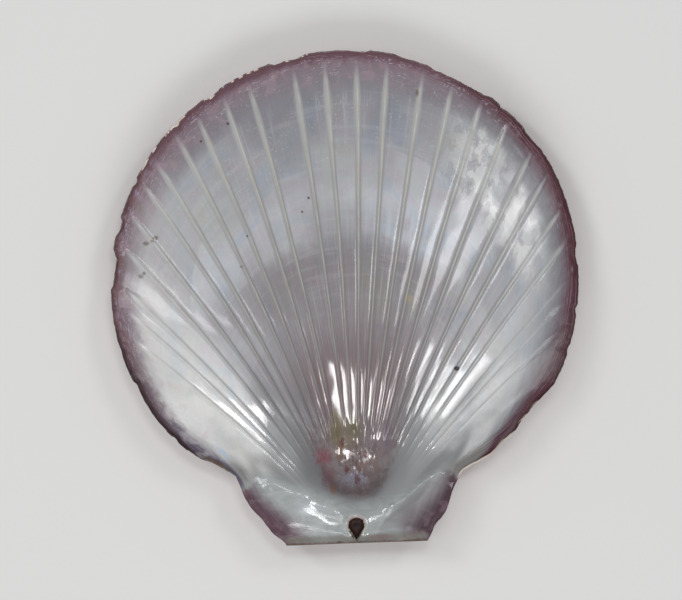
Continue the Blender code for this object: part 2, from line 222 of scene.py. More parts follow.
def faces_z(x, y, k, t, disc, away):
    """Heights of the inner and outer faces, and masks for ribs and hinge plate."""
    r = np.hypot(x, y)
    cup = hollow(y, k)
    side = into_hollow(x, y)
    bearing = np.degrees(np.arctan2(np.abs(x), y + 1e-9))
    shelf = 19.2 - 2.8 * smoothstep(50.0, 44.0, bearing) + 6.0 * smoothstep(60.0, 71.0, bearing)
    shelf = shelf - 2.6 * bell(bearing - 41.0, 9.0)
    inside = smooth_max(smooth_min(y - 6.3, side, 2.5), 0.85 * (r - shelf), 3.0)
    slope = 0.92 + 0.9 * bell(x, 5.0) - 0.25 * smoothstep(14.0, 21.0, r) * (1.0 - np.where(x > 0, 0.8, 0.0) * bell(bearing - 38.0, 10.0))
    crisp = smoothstep(3.5, 8.5, x)
    turn = 1.3 - 0.65 * crisp + 0.4 * smoothstep(-4.0, -8.0, x) * (1.0 - smoothstep(11.0, 14.0, r))
    plate = PLATE_Z + 0.05 - slope * turn * np.logaddexp(0.0, (inside - 0.9) / turn)
    inner = smooth_max(cup, plate, 0.7)
    on_plate = 1.0 - smoothstep(0.2, 2.4, inside)

    relief, mask, across = ribs(t, k)
    mask = mask * disc * smoothstep(0.0, 2.0, inside)
    open_disc = disc * smoothstep(1.0, 4.0, inside)
    inner = inner + relief * disc * smoothstep(0.3, 2.5, inside) + flutes(t, k) * open_disc

    # auricular ridges, each with a knob and a dimple at its outer end
    reach = np.where(x > 0, 1.0, 1.06)
    along = smoothstep(6.2, 9.0, r) * (1.0 - smoothstep(16.5 * reach, 19.8 * reach, r))
    wave = 0.25 * value_noise(r, side * 0, 2.2, 5)
    inner = inner + 0.17 * crisp * bell(side - wave, 0.42) * along + 0.20 * bell(side + 0.6, 1.6) * along
    inner = inner + (0.10 + 0.06 * crisp) * bell(r - 18.2 * reach, 1.3) * bell(side - 0.1, 1.1)
    inner = inner - 0.08 * bell(r - 17.4 * reach, 1.4) * bell(side - 1.9, 1.0)
    groove = np.where(x > 0, 0.07 * smoothstep(8.0, 12.0, r) * (1.0 - smoothstep(17.0, 21.0, r)),
                      0.17 * smoothstep(3.5, 6.5, r) * (1.0 - smoothstep(9.5, 14.0, r)))
    inner = inner - groove * bell(side + np.where(x > 0, 1.8, 1.25), 1.1)
    inner = inner + 0.03 * value_noise(x, y, 3.1, 25) * on_plate * smoothstep(1.5, 3.0, y) * (1.0 - disc * 0.5)

    # thin ledge along the hinge line, and the pit with its swollen border
    ledge_top = np.where(x > 0, 0.85 + 1.15 * smoothstep(1.5, 8.0, x) - 1.3 * smoothstep(8.2, 12.0, x),
                         1.05 - 0.25 * smoothstep(8.0, 12.0, -x))
    beside = smoothstep(1.7, 2.5, np.abs(x))
    inner = inner + 0.035 * (1.0 - smoothstep(ledge_top - 0.8, ledge_top + 0.8, y)) * beside
    inner = inner - 0.012 * bell(y - ledge_top - 1.2, 1.1) * beside
    pit = pit_field(x, y)[0]
    inner = inner + 0.07 * bell(pit - 0.35, 0.40) - PIT_DEPTH * (pit < -0.02)

    # lumpy pearl on the umbo's floor, broad unevenness, and growth steps near the rim
    lumps = disc * smoothstep(2.0, 5.0, inside) * np.exp(-(t / 30.0) ** 4)
    floor = lumps * (1.0 - smoothstep(0.215, 0.275, k))
    floor = floor * np.exp(-(t / 21.0) ** 4)
    inner = inner + floor * (0.15 * value_noise(x, y * 0.7, 2.4, 11) + 0.09 * value_noise(x, y * 0.7, 1.2, 12)
                             + 0.022 * value_noise(x, y * 0.6, 0.65, 14))
    inner = inner + lumps * (1.0 - smoothstep(0.32, 0.42, k)) * 0.016 * value_noise(x, y * 0.45, 1.9, 13)
    low = 1.0 + 0.9 * smoothstep(0.62, 0.45, k)
    inner = inner + open_disc * (0.055 * value_noise(x, y, 9.0, 21) + low * 0.022 * value_noise(x, y, 4.0, 22)
                                 + (low - 1.0) * 0.012 * value_noise(x, y * 0.8, 1.9, 23))
    steps = np.zeros_like(x)
    for at, tall, seed in ((0.8, 0.030, 31), (1.7, 0.028, 32), (2.8, 0.024, 33), (4.3, 0.020, 34)):
        edge = at + 0.35 * value_noise(t, k * 0, 6.0, seed) + 0.12 * value_noise(t, k * 0, 1.3, seed + 40)
        tall = tall * smoothstep(-0.1, 0.5, value_noise(t, k * 0, 8.0, seed + 60))
        steps = steps - tall * (1.0 - smoothstep(edge - 0.12, edge + 0.12, away))
    inner = inner + disc * steps * (1.0 - mask)

    thick = MARGIN_THICK + (DISC_THICK - MARGIN_THICK) * smoothstep(1.0, 0.80, k)
    thick = thick + (UMBO_THICK - DISC_THICK) * smoothstep(0.30, 0.10, k)
    plate_out = PLATE_Z - PLATE_THICK + (PLATE_THICK - MARGIN_THICK) * smoothstep(NOTCH_K, 1.0, k)
    outer = smooth_min(cup - thick, plate_out, 0.6)
    weight = smoothstep(1.0, 0.85, k)
    outer = weight * outer + (1.0 - weight) * (cup - thick)
    return inner, outer, mask, across, on_plate


# ============================================================ the fine mesh
COLUMNS = 928          # at the rim; every second one further in, and fewer still near the beak
EAR_COLUMNS = 20
LIP = 0.13             # how far the rounded edge reaches in from the outline
LIP_BAND = 0.9         # band along the edge that gives way to it


def spread(n, low, high, dense):
    """n + 1 values from low to high, as close together as the function dense says."""
    fine = np.linspace(low, high, 20001)
    d = dense(fine)
    total = np.concatenate([[0.0], np.cumsum((d[1:] + d[:-1]) / 2)])
    return np.interp(np.linspace(0.0, total[-1], n + 1), total, fine)


def column_density(t):
    d = np.ones_like(t)
    for c in RIBS:
        d = np.maximum(d, 3.8 * (np.abs(t - c) < 0.62))
    return d


def row_density(k):
    return np.interp(k, (0, .12, .30, .36, .82, .88, .95, .97, 1.0), (250, 230, 200, 62, 62, 140, 200, 330, 330))


COLS = spread(COLUMNS, FLANK_LEFT, FLANK_RIGHT, column_density)
ROWS = np.concatenate([spread(96, 0.0, NOTCH_K, row_density), spread(52, NOTCH_K, 1.0, row_density)[1:]])
NOTCH_ROW = 96


def inner_step(k):
    return 32 if k < 0.025 else 16 if k < 0.055 else 8 if k < 0.12 else 4 if k < 0.25 else 2 if k < 0.975 else 1


def outer_step(k):
    return 32 if k < 0.055 else 16 if k < 0.12 else 8 if k < 0.30 else 4 if k < 0.9999 else 1


class Sheet:
    """One face of the valve as an open sheet over the XY plane, seen anticlockwise from above."""

    def __init__(self, step):
        self.points, self.grown, self.faces, self.count = [], [], [], 0
        pole = self.add(0.0, 0.0, 0.0, 0.0, 1.0)[0]
        reach = np.interp(COLS, OUT_T, OUT_R)
        rows, flank = [], {-1: [pole], 1: [pole]}
        for k in ROWS[1:]:
            pick = np.arange(0, COLUMNS + 1, step(k))
            t = COLS[pick]
            a = np.radians(ray(t, k))
            ids = self.add(k * reach[pick] * np.sin(a), k * reach[pick] * np.cos(a), t, k, 1.0)
            rows.append(ids)
            flank[-1].append(ids[0])
            flank[1].append(ids[-1])
        self.faces += [(pole, rows[0][c + 1], rows[0][c]) for c in range(len(rows[0]) - 1)]
        for low, high in zip(rows[:-1], rows[1:]):
            self.join(low, high)
        for sign, edge, power in ((-1, FLANK_LEFT, EAR_CURVE[0]), (1, FLANK_RIGHT, EAR_CURVE[1])):
            self.ear(sign, edge, power, pole, flank[sign])
        xy, grown = np.concatenate(self.points), np.concatenate(self.grown)
        self.x, self.y = xy.T
        self.t, self.k, self.disc = grown.T
        self.loop = self.walk()

    def add(self, x, y, t, k, disc):
        x = np.atleast_1d(np.asarray(x, float))
        n = len(x)
        self.points.append(np.stack([x, np.broadcast_to(y, n)], 1))
        self.grown.append(np.stack([np.broadcast_to(t, n), np.broadcast_to(k, n), np.broadcast_to(disc, n)], 1))
        self.count += n
        return np.arange(self.count - n, self.count)

    def join(self, low, high):
        """Faces between a row and the next one out, which may have more columns."""
        f = (len(high) - 1) // (len(low) - 1)
        for c in range(len(low) - 1):
            near, far, h = low[c], low[c + 1], high[c * f:c * f + f + 1]
            if f == 1:
                self.faces.append((near, far, h[1], h[0]))
                continue
            mid = f // 2
            self.faces += [(near, h[q + 1], h[q]) for q in range(mid)]
            self.faces.append((near, far, h[mid]))
            self.faces += [(far, h[q + 1], h[q]) for q in range(mid, f)]

    def ear(self, sign, edge, power, pole, flank):
        """A fan from the flank down to the hinge line."""
        notch = NOTCH_K * float(np.interp(edge, OUT_T, OUT_R))
        f = np.linspace(0.0, 1.0, EAR_COLUMNS + 1)[1:]
        a = np.radians(edge + (sign * 90.0 - edge) * f)
        far = EAR_REACH + (notch - EAR_REACH) * (1.0 - f) ** power
        last = None
        for r in range(1, NOTCH_ROW + 1):
            share = ROWS[r] / NOTCH_K
            ids = self.add(share * far * np.sin(a), np.maximum(0.0, share * far * np.cos(a)), edge, ROWS[r], 0.0)
            ids = np.concatenate([[flank[r]], ids])
            if last is None:
                made = [(pole, ids[c + 1], ids[c]) for c in range(EAR_COLUMNS)]
            else:
                made = [(last[c], last[c + 1], ids[c + 1], ids[c]) for c in range(EAR_COLUMNS)]
            self.faces += made if sign > 0 else [q[::-1] for q in made]
            last = ids

    def walk(self):
        """The vertices of the sheet's edge in order, anticlockwise, from the beak."""
        half = {(a, b) for f in self.faces for a, b in zip(f, f[1:] + f[:1])}
        after = {a: b for a, b in half if (b, a) not in half}
        loop = [0]
        while after[loop[-1]] != 0:
            loop.append(after[loop[-1]])
        return np.array(loop)


def nearest_edge(x, y, line):
    """Distance to a polyline given as points, and the line's own outward direction there."""
    tangent = np.gradient(line, axis=0)
    tangent /= np.linalg.norm(tangent, axis=1)[:, None]
    outward = np.stack([tangent[:, 1], -tangent[:, 0]], 1)
    tree = kdtree.KDTree(len(line))
    for i, p in enumerate(line):
        tree.insert((p[0], p[1], 0.0), i)
    tree.balance()
    found = [tree.find((a, b, 0.0)) for a, b in zip(x, y)]
    near = np.array([f[1] for f in found])
    return np.array([f[2] for f in found]), outward[near]


def edge_line(sheet):
    """The outline without the hinge line, finely sampled, from the right ear to the left."""
    p = np.stack([sheet.x[sheet.loop], sheet.y[sheet.loop]], 1)
    free = p[p[:, 1] > 1e-6]
    free = np.concatenate([[(EAR_REACH, 0.0)], free, [(-EAR_REACH, 0.0)]])
    step = np.concatenate([[0.0], np.cumsum(np.linalg.norm(np.diff(free, axis=0), axis=1))])
    s = np.linspace(0.0, step[-1], 6000)
    return np.stack([np.interp(s, step, free[:, 0]), np.interp(s, step, free[:, 1])], 1)


def settle(sheet, line, inner):
    """Wears the rim, draws the edge in for the lip, and fits the mesh to the ligament pit."""
    away, outward = nearest_edge(sheet.x, sheet.y, line)
    sheet.away = away
    phi = np.degrees(np.arctan2(sheet.x - DISC_CENTRE[0], sheet.y - DISC_CENTRE[1]))
    wear = np.interp(phi, *zip(*RIM_WEAR), left=0.0, right=0.0)
    wear = wear + 0.05 * value_noise(phi, phi * 0, 0.9, 3) + 0.03 * value_noise(phi, phi * 0, 0.4, 4)
    wear = wear * (1.0 - smoothstep(0.0, 2.6, away)) * smoothstep(0.3, 2.5, sheet.y)
    sheet.x = sheet.x + wear * outward[:, 0]
    sheet.y = sheet.y + wear * outward[:, 1]
    sheet.edge = np.stack([sheet.x[sheet.loop], sheet.y[sheet.loop]], 1)
    give = LIP * np.clip(1.0 - away / LIP_BAND, 0.0, 1.0)
    rise = LIP * np.clip(1.0 - sheet.y / LIP_BAND, 0.0, 1.0)
    sheet.x = sheet.x - give * outward[:, 0]
    sheet.y = sheet.y - give * outward[:, 1] + rise
    if inner:
        d, px, py = pit_field(sheet.x, sheet.y)
        near = np.abs(d) < 0.10
        sheet.x, sheet.y = np.where(near, px, sheet.x), np.where(near, py, sheet.y)


def to_world(x, y, z):
    """From the shell frame in mm to the part's frame in metres, resting on its belly."""
    a = math.radians(REST_TILT)
    c, s = math.cos(a), math.sin(a)
    p = np.stack([x + SHIFT[0], y * c + z * s + SHIFT[1], -y * s + z * c + SHIFT[2]], 1) * MM
    return np.clip(p, np.array(CAD_LOW), np.array(CAD_HIGH))


def outer_relief(x, y, t, k, disc):
    """Fine growth ripples and a few growth marks outside, drawn inwards only."""
    rings = 0.015 * (np.sin(k ** 0.8 * 200 + 3 * value_noise(t, k * 20, 9.0, 71)) * 0.5 + 0.5)
    marks = np.zeros_like(x)
    for at, tall in ((0.34, .05), (0.55, .06), (0.73, .07), (0.86, .05), (0.93, .05)):
        marks = marks + tall * bell((k - at - 0.004 * value_noise(t, k * 0, 8.0, int(at * 100))) * 60, 0.6)
    return disc * (rings + marks) * smoothstep(0.06, 0.15, k) * (1 - smoothstep(0.985, 1.0, k))


def mesh_object(name, verts, faces, material):
    mesh = bpy.data.meshes.new(name)
    sizes = np.array([len(f) for f in faces], np.int32)
    mesh.vertices.add(len(verts))
    mesh.vertices.foreach_set("co", np.asarray(verts, np.float32).ravel())
    mesh.loops.add(int(sizes.sum()))
    mesh.loops.foreach_set("vertex_index", np.concatenate([np.asarray(f, np.int32) for f in faces]))
    mesh.polygons.add(len(sizes))
    mesh.polygons.foreach_set("loop_start", np.concatenate([[0], np.cumsum(sizes)[:-1]]).astype(np.int32))
    mesh.update(calc_edges=True)
    mesh.validate()
    mesh.shade_smooth()
    obj = bpy.data.objects.new(name, mesh)
    bpy.context.scene.collection.objects.link(obj)
    mesh.materials.append(material)
    return obj


def vector_attribute(mesh, name, columns):
    data = np.stack(columns, 1).astype(np.float32)
    mesh.attributes.new(name, "FLOAT_VECTOR", "POINT").data.foreach_set("vector", data.ravel())


def matte(t, k, x, y, side, plate, disc):
    """Where the pearl has lost its gloss, from 0 to 1."""
    def ramp(low, high, v):
        return smoothstep(low, high, v) if low < high else 1.0 - smoothstep(high, low, v)

    blotch = value_noise(t * 0.20, k * 22.0, 1.0, 61) + 0.5 * value_noise(t * 0.4, k * 44.0, 1.0, 62)
    out = 0.9 * ramp(-44.5, -47.0, t) * ramp(0.44, 0.54, k)
    for part in (0.85 * ramp(38.0, 40.5, t) * ramp(0.34, 0.44, k),
                 0.85 * ramp(15.5, 17.5, t) * ramp(26.0, 23.0, t) * ramp(0.40, 0.35, k) * ramp(0.20, 0.24, k),
                 0.80 * ramp(-21.0, -18.0, t) * ramp(-9.6, -11.0, t) * ramp(0.315, 0.29, k) * ramp(0.20, 0.23, k),
                 0.80 * ramp(-42.0, -39.0, t) * ramp(-31.0, -33.0, t) * ramp(0.43, 0.39, k) * ramp(0.28, 0.32, k),
                 0.90 * ramp(-33.4, -31.5, t) * ramp(-17.0, -20.0, t) * ramp(0.46, 0.40, k),
                 0.85 * ramp(20.0, 26.0, t) * ramp(0.895, 0.925, k),
                 0.60 * ramp(12.0, 18.0, t) * ramp(0.72, 0.80, k) * ramp(0.2, -0.25, blotch)):
        out = np.maximum(out, part * disc)
    wet = np.clip(1.0 - np.hypot((x + 7.9) / 2.5, (y - 7.4) / 2.0), 0.0, 1.0)
    crest = ramp(-1.2, -3.0, x) * ramp(3.0, 1.2, np.abs(side + 0.2)) * plate * (1.0 - 0.6 * smoothstep(0.0, 0.6, wet))
    out = np.maximum(out, 0.85 * crest)
    out = np.maximum(out, 0.85 * plate * np.sqrt(np.clip(1.0 - np.hypot((x + 9.1) / 2.6, (y - 6.0) / 1.6), 0.0, 1.0)))
    return np.maximum(out, 0.9 * plate * ramp(3.9, 3.0, y) * ramp(1.6, 2.2, np.abs(x)))


def build_valve(material):
    upper, under = Sheet(inner_step), Sheet(outer_step)
    line = edge_line(upper)
    settle(upper, line, True)
    settle(under, line, False)
    top, _, rib, across, plate = faces_z(upper.x, upper.y, upper.k, upper.t, upper.disc, upper.away)
    _, low, _, _, plate_low = faces_z(under.x, under.y, under.k, under.t, under.disc, under.away)
    low = low + outer_relief(under.x, under.y, under.t, under.k, under.disc)
    tilt = math.radians(REST_TILT)
    sunk = np.min(low * math.cos(tilt) - under.y * math.sin(tilt)) + SHIFT[2]
    low = low + max(0.0, -sunk) * (1.0 - smoothstep(0.60, 0.95, under.k)) * under.disc

    n, m = len(top), len(low)
    loop, count = upper.loop, len(upper.loop)
    assert count == len(under.loop)
    inset = np.stack([upper.x[loop], upper.y[loop]], 1)
    up_z, low_z = top[loop], low[under.loop]
    x, y, z = [upper.x, under.x], [upper.y, under.y], [top, low]
    for deg in (52.0, 0.0, -52.0):
        a = math.radians(deg)
        ring = inset + (upper.edge - inset) * math.cos(a)
        x.append(ring[:, 0])
        y.append(ring[:, 1])
        z.append((up_z + low_z) / 2 + (up_z - low_z) / 2 * math.sin(a))
    x, y, z = np.concatenate(x), np.concatenate(y), np.concatenate(z)
    faces = list(upper.faces) + [tuple(v + n for v in f[::-1]) for f in under.faces]
    rings = [loop] + [np.arange(n + m + i * count, n + m + (i + 1) * count) for i in range(3)] + [under.loop + n]
    for a, b in zip(rings[:-1], rings[1:]):
        for i in range(count):
            j = (i + 1) % count
            faces.append((a[j], a[i], b[i], b[j]))

    obj = mesh_object("valve_shell", to_world(x, y, z), faces, material)
    mesh = obj.data
    lip = [loop] * 3
    pick = lambda up, dn: np.concatenate([up, dn] + [up[q] for q in lip])
    ones = np.ones(count)
    vector_attribute(mesh, "growth", (pick(upper.t, under.t), pick(upper.k, under.k),
                                      np.concatenate([upper.away, under.away, ones * 0, ones * 0, ones * 0])))
    vector_attribute(mesh, "place", (x, y, z))
    vector_attribute(mesh, "near", (pit_field(x, y)[0], into_hollow(x, y), pick(across, np.full(m, 3.0))))
    ends = np.concatenate([np.zeros(m), *([np.zeros(count)] * 3)])
    dull = matte(upper.t, upper.k, upper.x, upper.y, into_hollow(upper.x, upper.y), plate, upper.disc)
    umbo = (1.0 - smoothstep(0.24, 0.31, upper.k)) * (1.0 - smoothstep(22.0, 34.0, np.abs(upper.t))) * (1.0 - smoothstep(0.1, 0.7, plate))
    vector_attribute(mesh, "gloss", (np.concatenate([dull, ends]), np.concatenate([umbo, ends]), np.concatenate([upper.disc, ends])))
    vector_attribute(mesh, "zone", (pick(rib, np.zeros(m)), pick(plate, plate_low),
                                    np.concatenate([np.ones(n), np.zeros(m), ones * .75, ones * .5, ones * .25])))

    # flat layout: the inner face on one round island, the outer face on another
    uv = mesh.uv_layers.new(name="OFBake")
    face_is_under = np.concatenate([np.zeros(len(upper.faces), bool), np.ones(len(under.faces), bool)]
                                   + [np.full(count, i > 1) for i in range(4)])
    loops = np.zeros(len(mesh.loops), np.int32)
    mesh.loops.foreach_get("vertex_index", loops)
    sizes = np.zeros(len(mesh.polygons), np.int32)
    mesh.polygons.foreach_get("loop_total", sizes)
    flip = np.repeat(face_is_under, sizes)
    s_in, s_out = 0.66 / 89.0, 0.48 / 89.0
    gx, gy = x[loops], y[loops] - 41.5
    u = np.where(flip, 0.755 - gx * s_out, 0.345 + gx * s_in)
    v = np.where(flip, 0.250 + gy * s_out, 0.650 + gy * s_in)
    uv.data.foreach_set("uv", np.stack([u, v], 1).astype(np.float32).ravel())
    return obj


# ============================================================ materials
def srgb(r, g, b):
    return tuple((v / 255 / 12.92 if v / 255 <= 0.04045 else ((v / 255 + 0.055) / 1.055) ** 2.4) for v in (r, g, b)) + (1.0,)


class Paint:
    """Short-hand for building one material's nodes."""

    def __init__(self, name):
        self.material = bpy.data.materials.new(name)
        self.material.use_nodes = True
        self.tree = self.material.node_tree
        self.shader = self.tree.nodes["Principled BSDF"]

    def node(self, kind, out=0, ins=None, **props):
        n = self.tree.nodes.new(kind)
        for key, value in props.items():
            setattr(n, key, value)
        for key, value in (ins or {}).items():
            if isinstance(value, bpy.types.NodeSocket):
                self.tree.links.new(value, n.inputs[key])
            elif value is not None:
                n.inputs[key].default_value = value
        return n.outputs[out]

    def attribute(self, name):
        v = self.node("ShaderNodeAttribute", "Vector", attribute_name=name)
        n = self.tree.nodes.new("ShaderNodeSeparateXYZ")
        self.tree.links.new(v, n.inputs[0])
        return n.outputs[0], n.outputs[1], n.outputs[2]

    def math(self, op, a, b=None, c=None, clamp=False):
        return self.node("ShaderNodeMath", ins={0: a, 1: b, 2: c}, operation=op, use_clamp=clamp)

    def add(self, a, b):
        return self.math("ADD", a, b)

    def sub(self, a, b):
        return self.math("SUBTRACT", a, b)

    def mul(self, *values):
        out = values[0]
        for v in values[1:]:
            out = self.math("MULTIPLY", out, v)
        return out

    def step(self, low, high, x, to=(0.0, 1.0)):
        """Smooth step of x from low to high; low may be above high."""
        if not isinstance(low, bpy.types.NodeSocket) and not isinstance(high, bpy.types.NodeSocket) and low > high:
            low, high, to = high, low, (to[1], to[0])
        return self.node("ShaderNodeMapRange", ins={0: x, 1: low, 2: high, 3: to[0], 4: to[1]}, interpolation_type="SMOOTHSTEP", clamp=False)

    def linear(self, low, high, x, to=(0.0, 1.0)):
        return self.node("ShaderNodeMapRange", ins={0: x, 1: low, 2: high, 3: to[0], 4: to[1]}, clamp=False)

    def near(self, x, at, width):
        """1 at x = at, falling to 0 over width on both sides."""
        return self.step(1.0, 0.0, self.math("DIVIDE", self.math("ABSOLUTE", self.sub(x, at)), width))

    def combine(self, x, y, z=0.0):
        return self.node("ShaderNodeCombineXYZ", ins={0: x, 1: y, 2: z})

    def noise(self, vector, scale=1.0, detail=2.0, rough=0.5, warp=0.0, kind="FBM", out=0):
        return self.node("ShaderNodeTexNoise", out, ins={"Vector": vector, "Scale": scale, "Detail": detail,
                                                       "Roughness": rough, "Distortion": warp}, noise_type=kind)

    def cells(self, vector, scale=1.0, out="Distance", **props):
        return self.node("ShaderNodeTexVoronoi", out, ins={"Vector": vector, "Scale": scale}, **props)

    def mix(self, share, a, b, mode="MIX"):
        n = self.tree.nodes.new("ShaderNodeMix")
        n.data_type, n.blend_type, n.clamp_factor = "RGBA", mode, True
        for socket, value in ((n.inputs[0], share), (n.inputs[6], a), (n.inputs[7], b)):
            if isinstance(value, bpy.types.NodeSocket):
                self.tree.links.new(value, socket)
            else:
                socket.default_value = value
        return n.outputs[2]

    def ramp(self, x, stops, mode="LINEAR"):
        n = self.tree.nodes.new("ShaderNodeValToRGB")
        n.color_ramp.interpolation = mode
        while len(n.color_ramp.elements) < len(stops):
            n.color_ramp.elements.new(0.5)
        for e, (at, colour) in zip(n.color_ramp.elements, stops):
            e.position, e.color = at, colour
        self.tree.links.new(x, n.inputs[0])
        return n.outputs[0]

    def curve(self, x, low, high, points, scale=1.0):
        """A number that follows points (x, value) smoothly; values are from 0 to 1, times scale."""
        place = self.linear(low, high, x)
        n = self.tree.nodes.new("ShaderNodeFloatCurve")
        c = n.mapping.curves[0]
        flat = [((a - low) / (high - low), b) for a, b in points]
        while len(c.points) < len(flat):
            c.points.new(0.5, 0.5)
        for p, (a, b) in zip(c.points, flat):
            p.location = (a, b)
        n.mapping.update()
        self.tree.links.new(place, n.inputs["Value"])
        return n.outputs[0] if scale == 1.0 else self.mul(n.outputs[0], scale)

    def spot(self, x, y, cx, cy, rx, ry, soft=0.5):
        """1 inside an oval about (cx, cy), fading out over its outer part."""
        a = self.math("DIVIDE", self.sub(x, cx), rx)
        b = self.math("DIVIDE", self.sub(y, cy), ry)
        d = self.math("SQRT", self.add(self.mul(a, a), self.mul(b, b)))
        return self.step(1.0, 1.0 - soft, d)

    def bump(self, height, distance, strength=1.0, under=None):
        ins = {"Height": height, "Distance": distance, "Strength": strength}
        if under is not None:
            ins["Normal"] = under
        return self.node("ShaderNodeBump", ins=ins)

    def set(self, **sockets):
        for name, value in sockets.items():
            socket = self.shader.inputs[name.replace("_", " ")]
            if isinstance(value, bpy.types.NodeSocket):
                self.tree.links.new(value, socket)
            else:
                socket.default_value = value


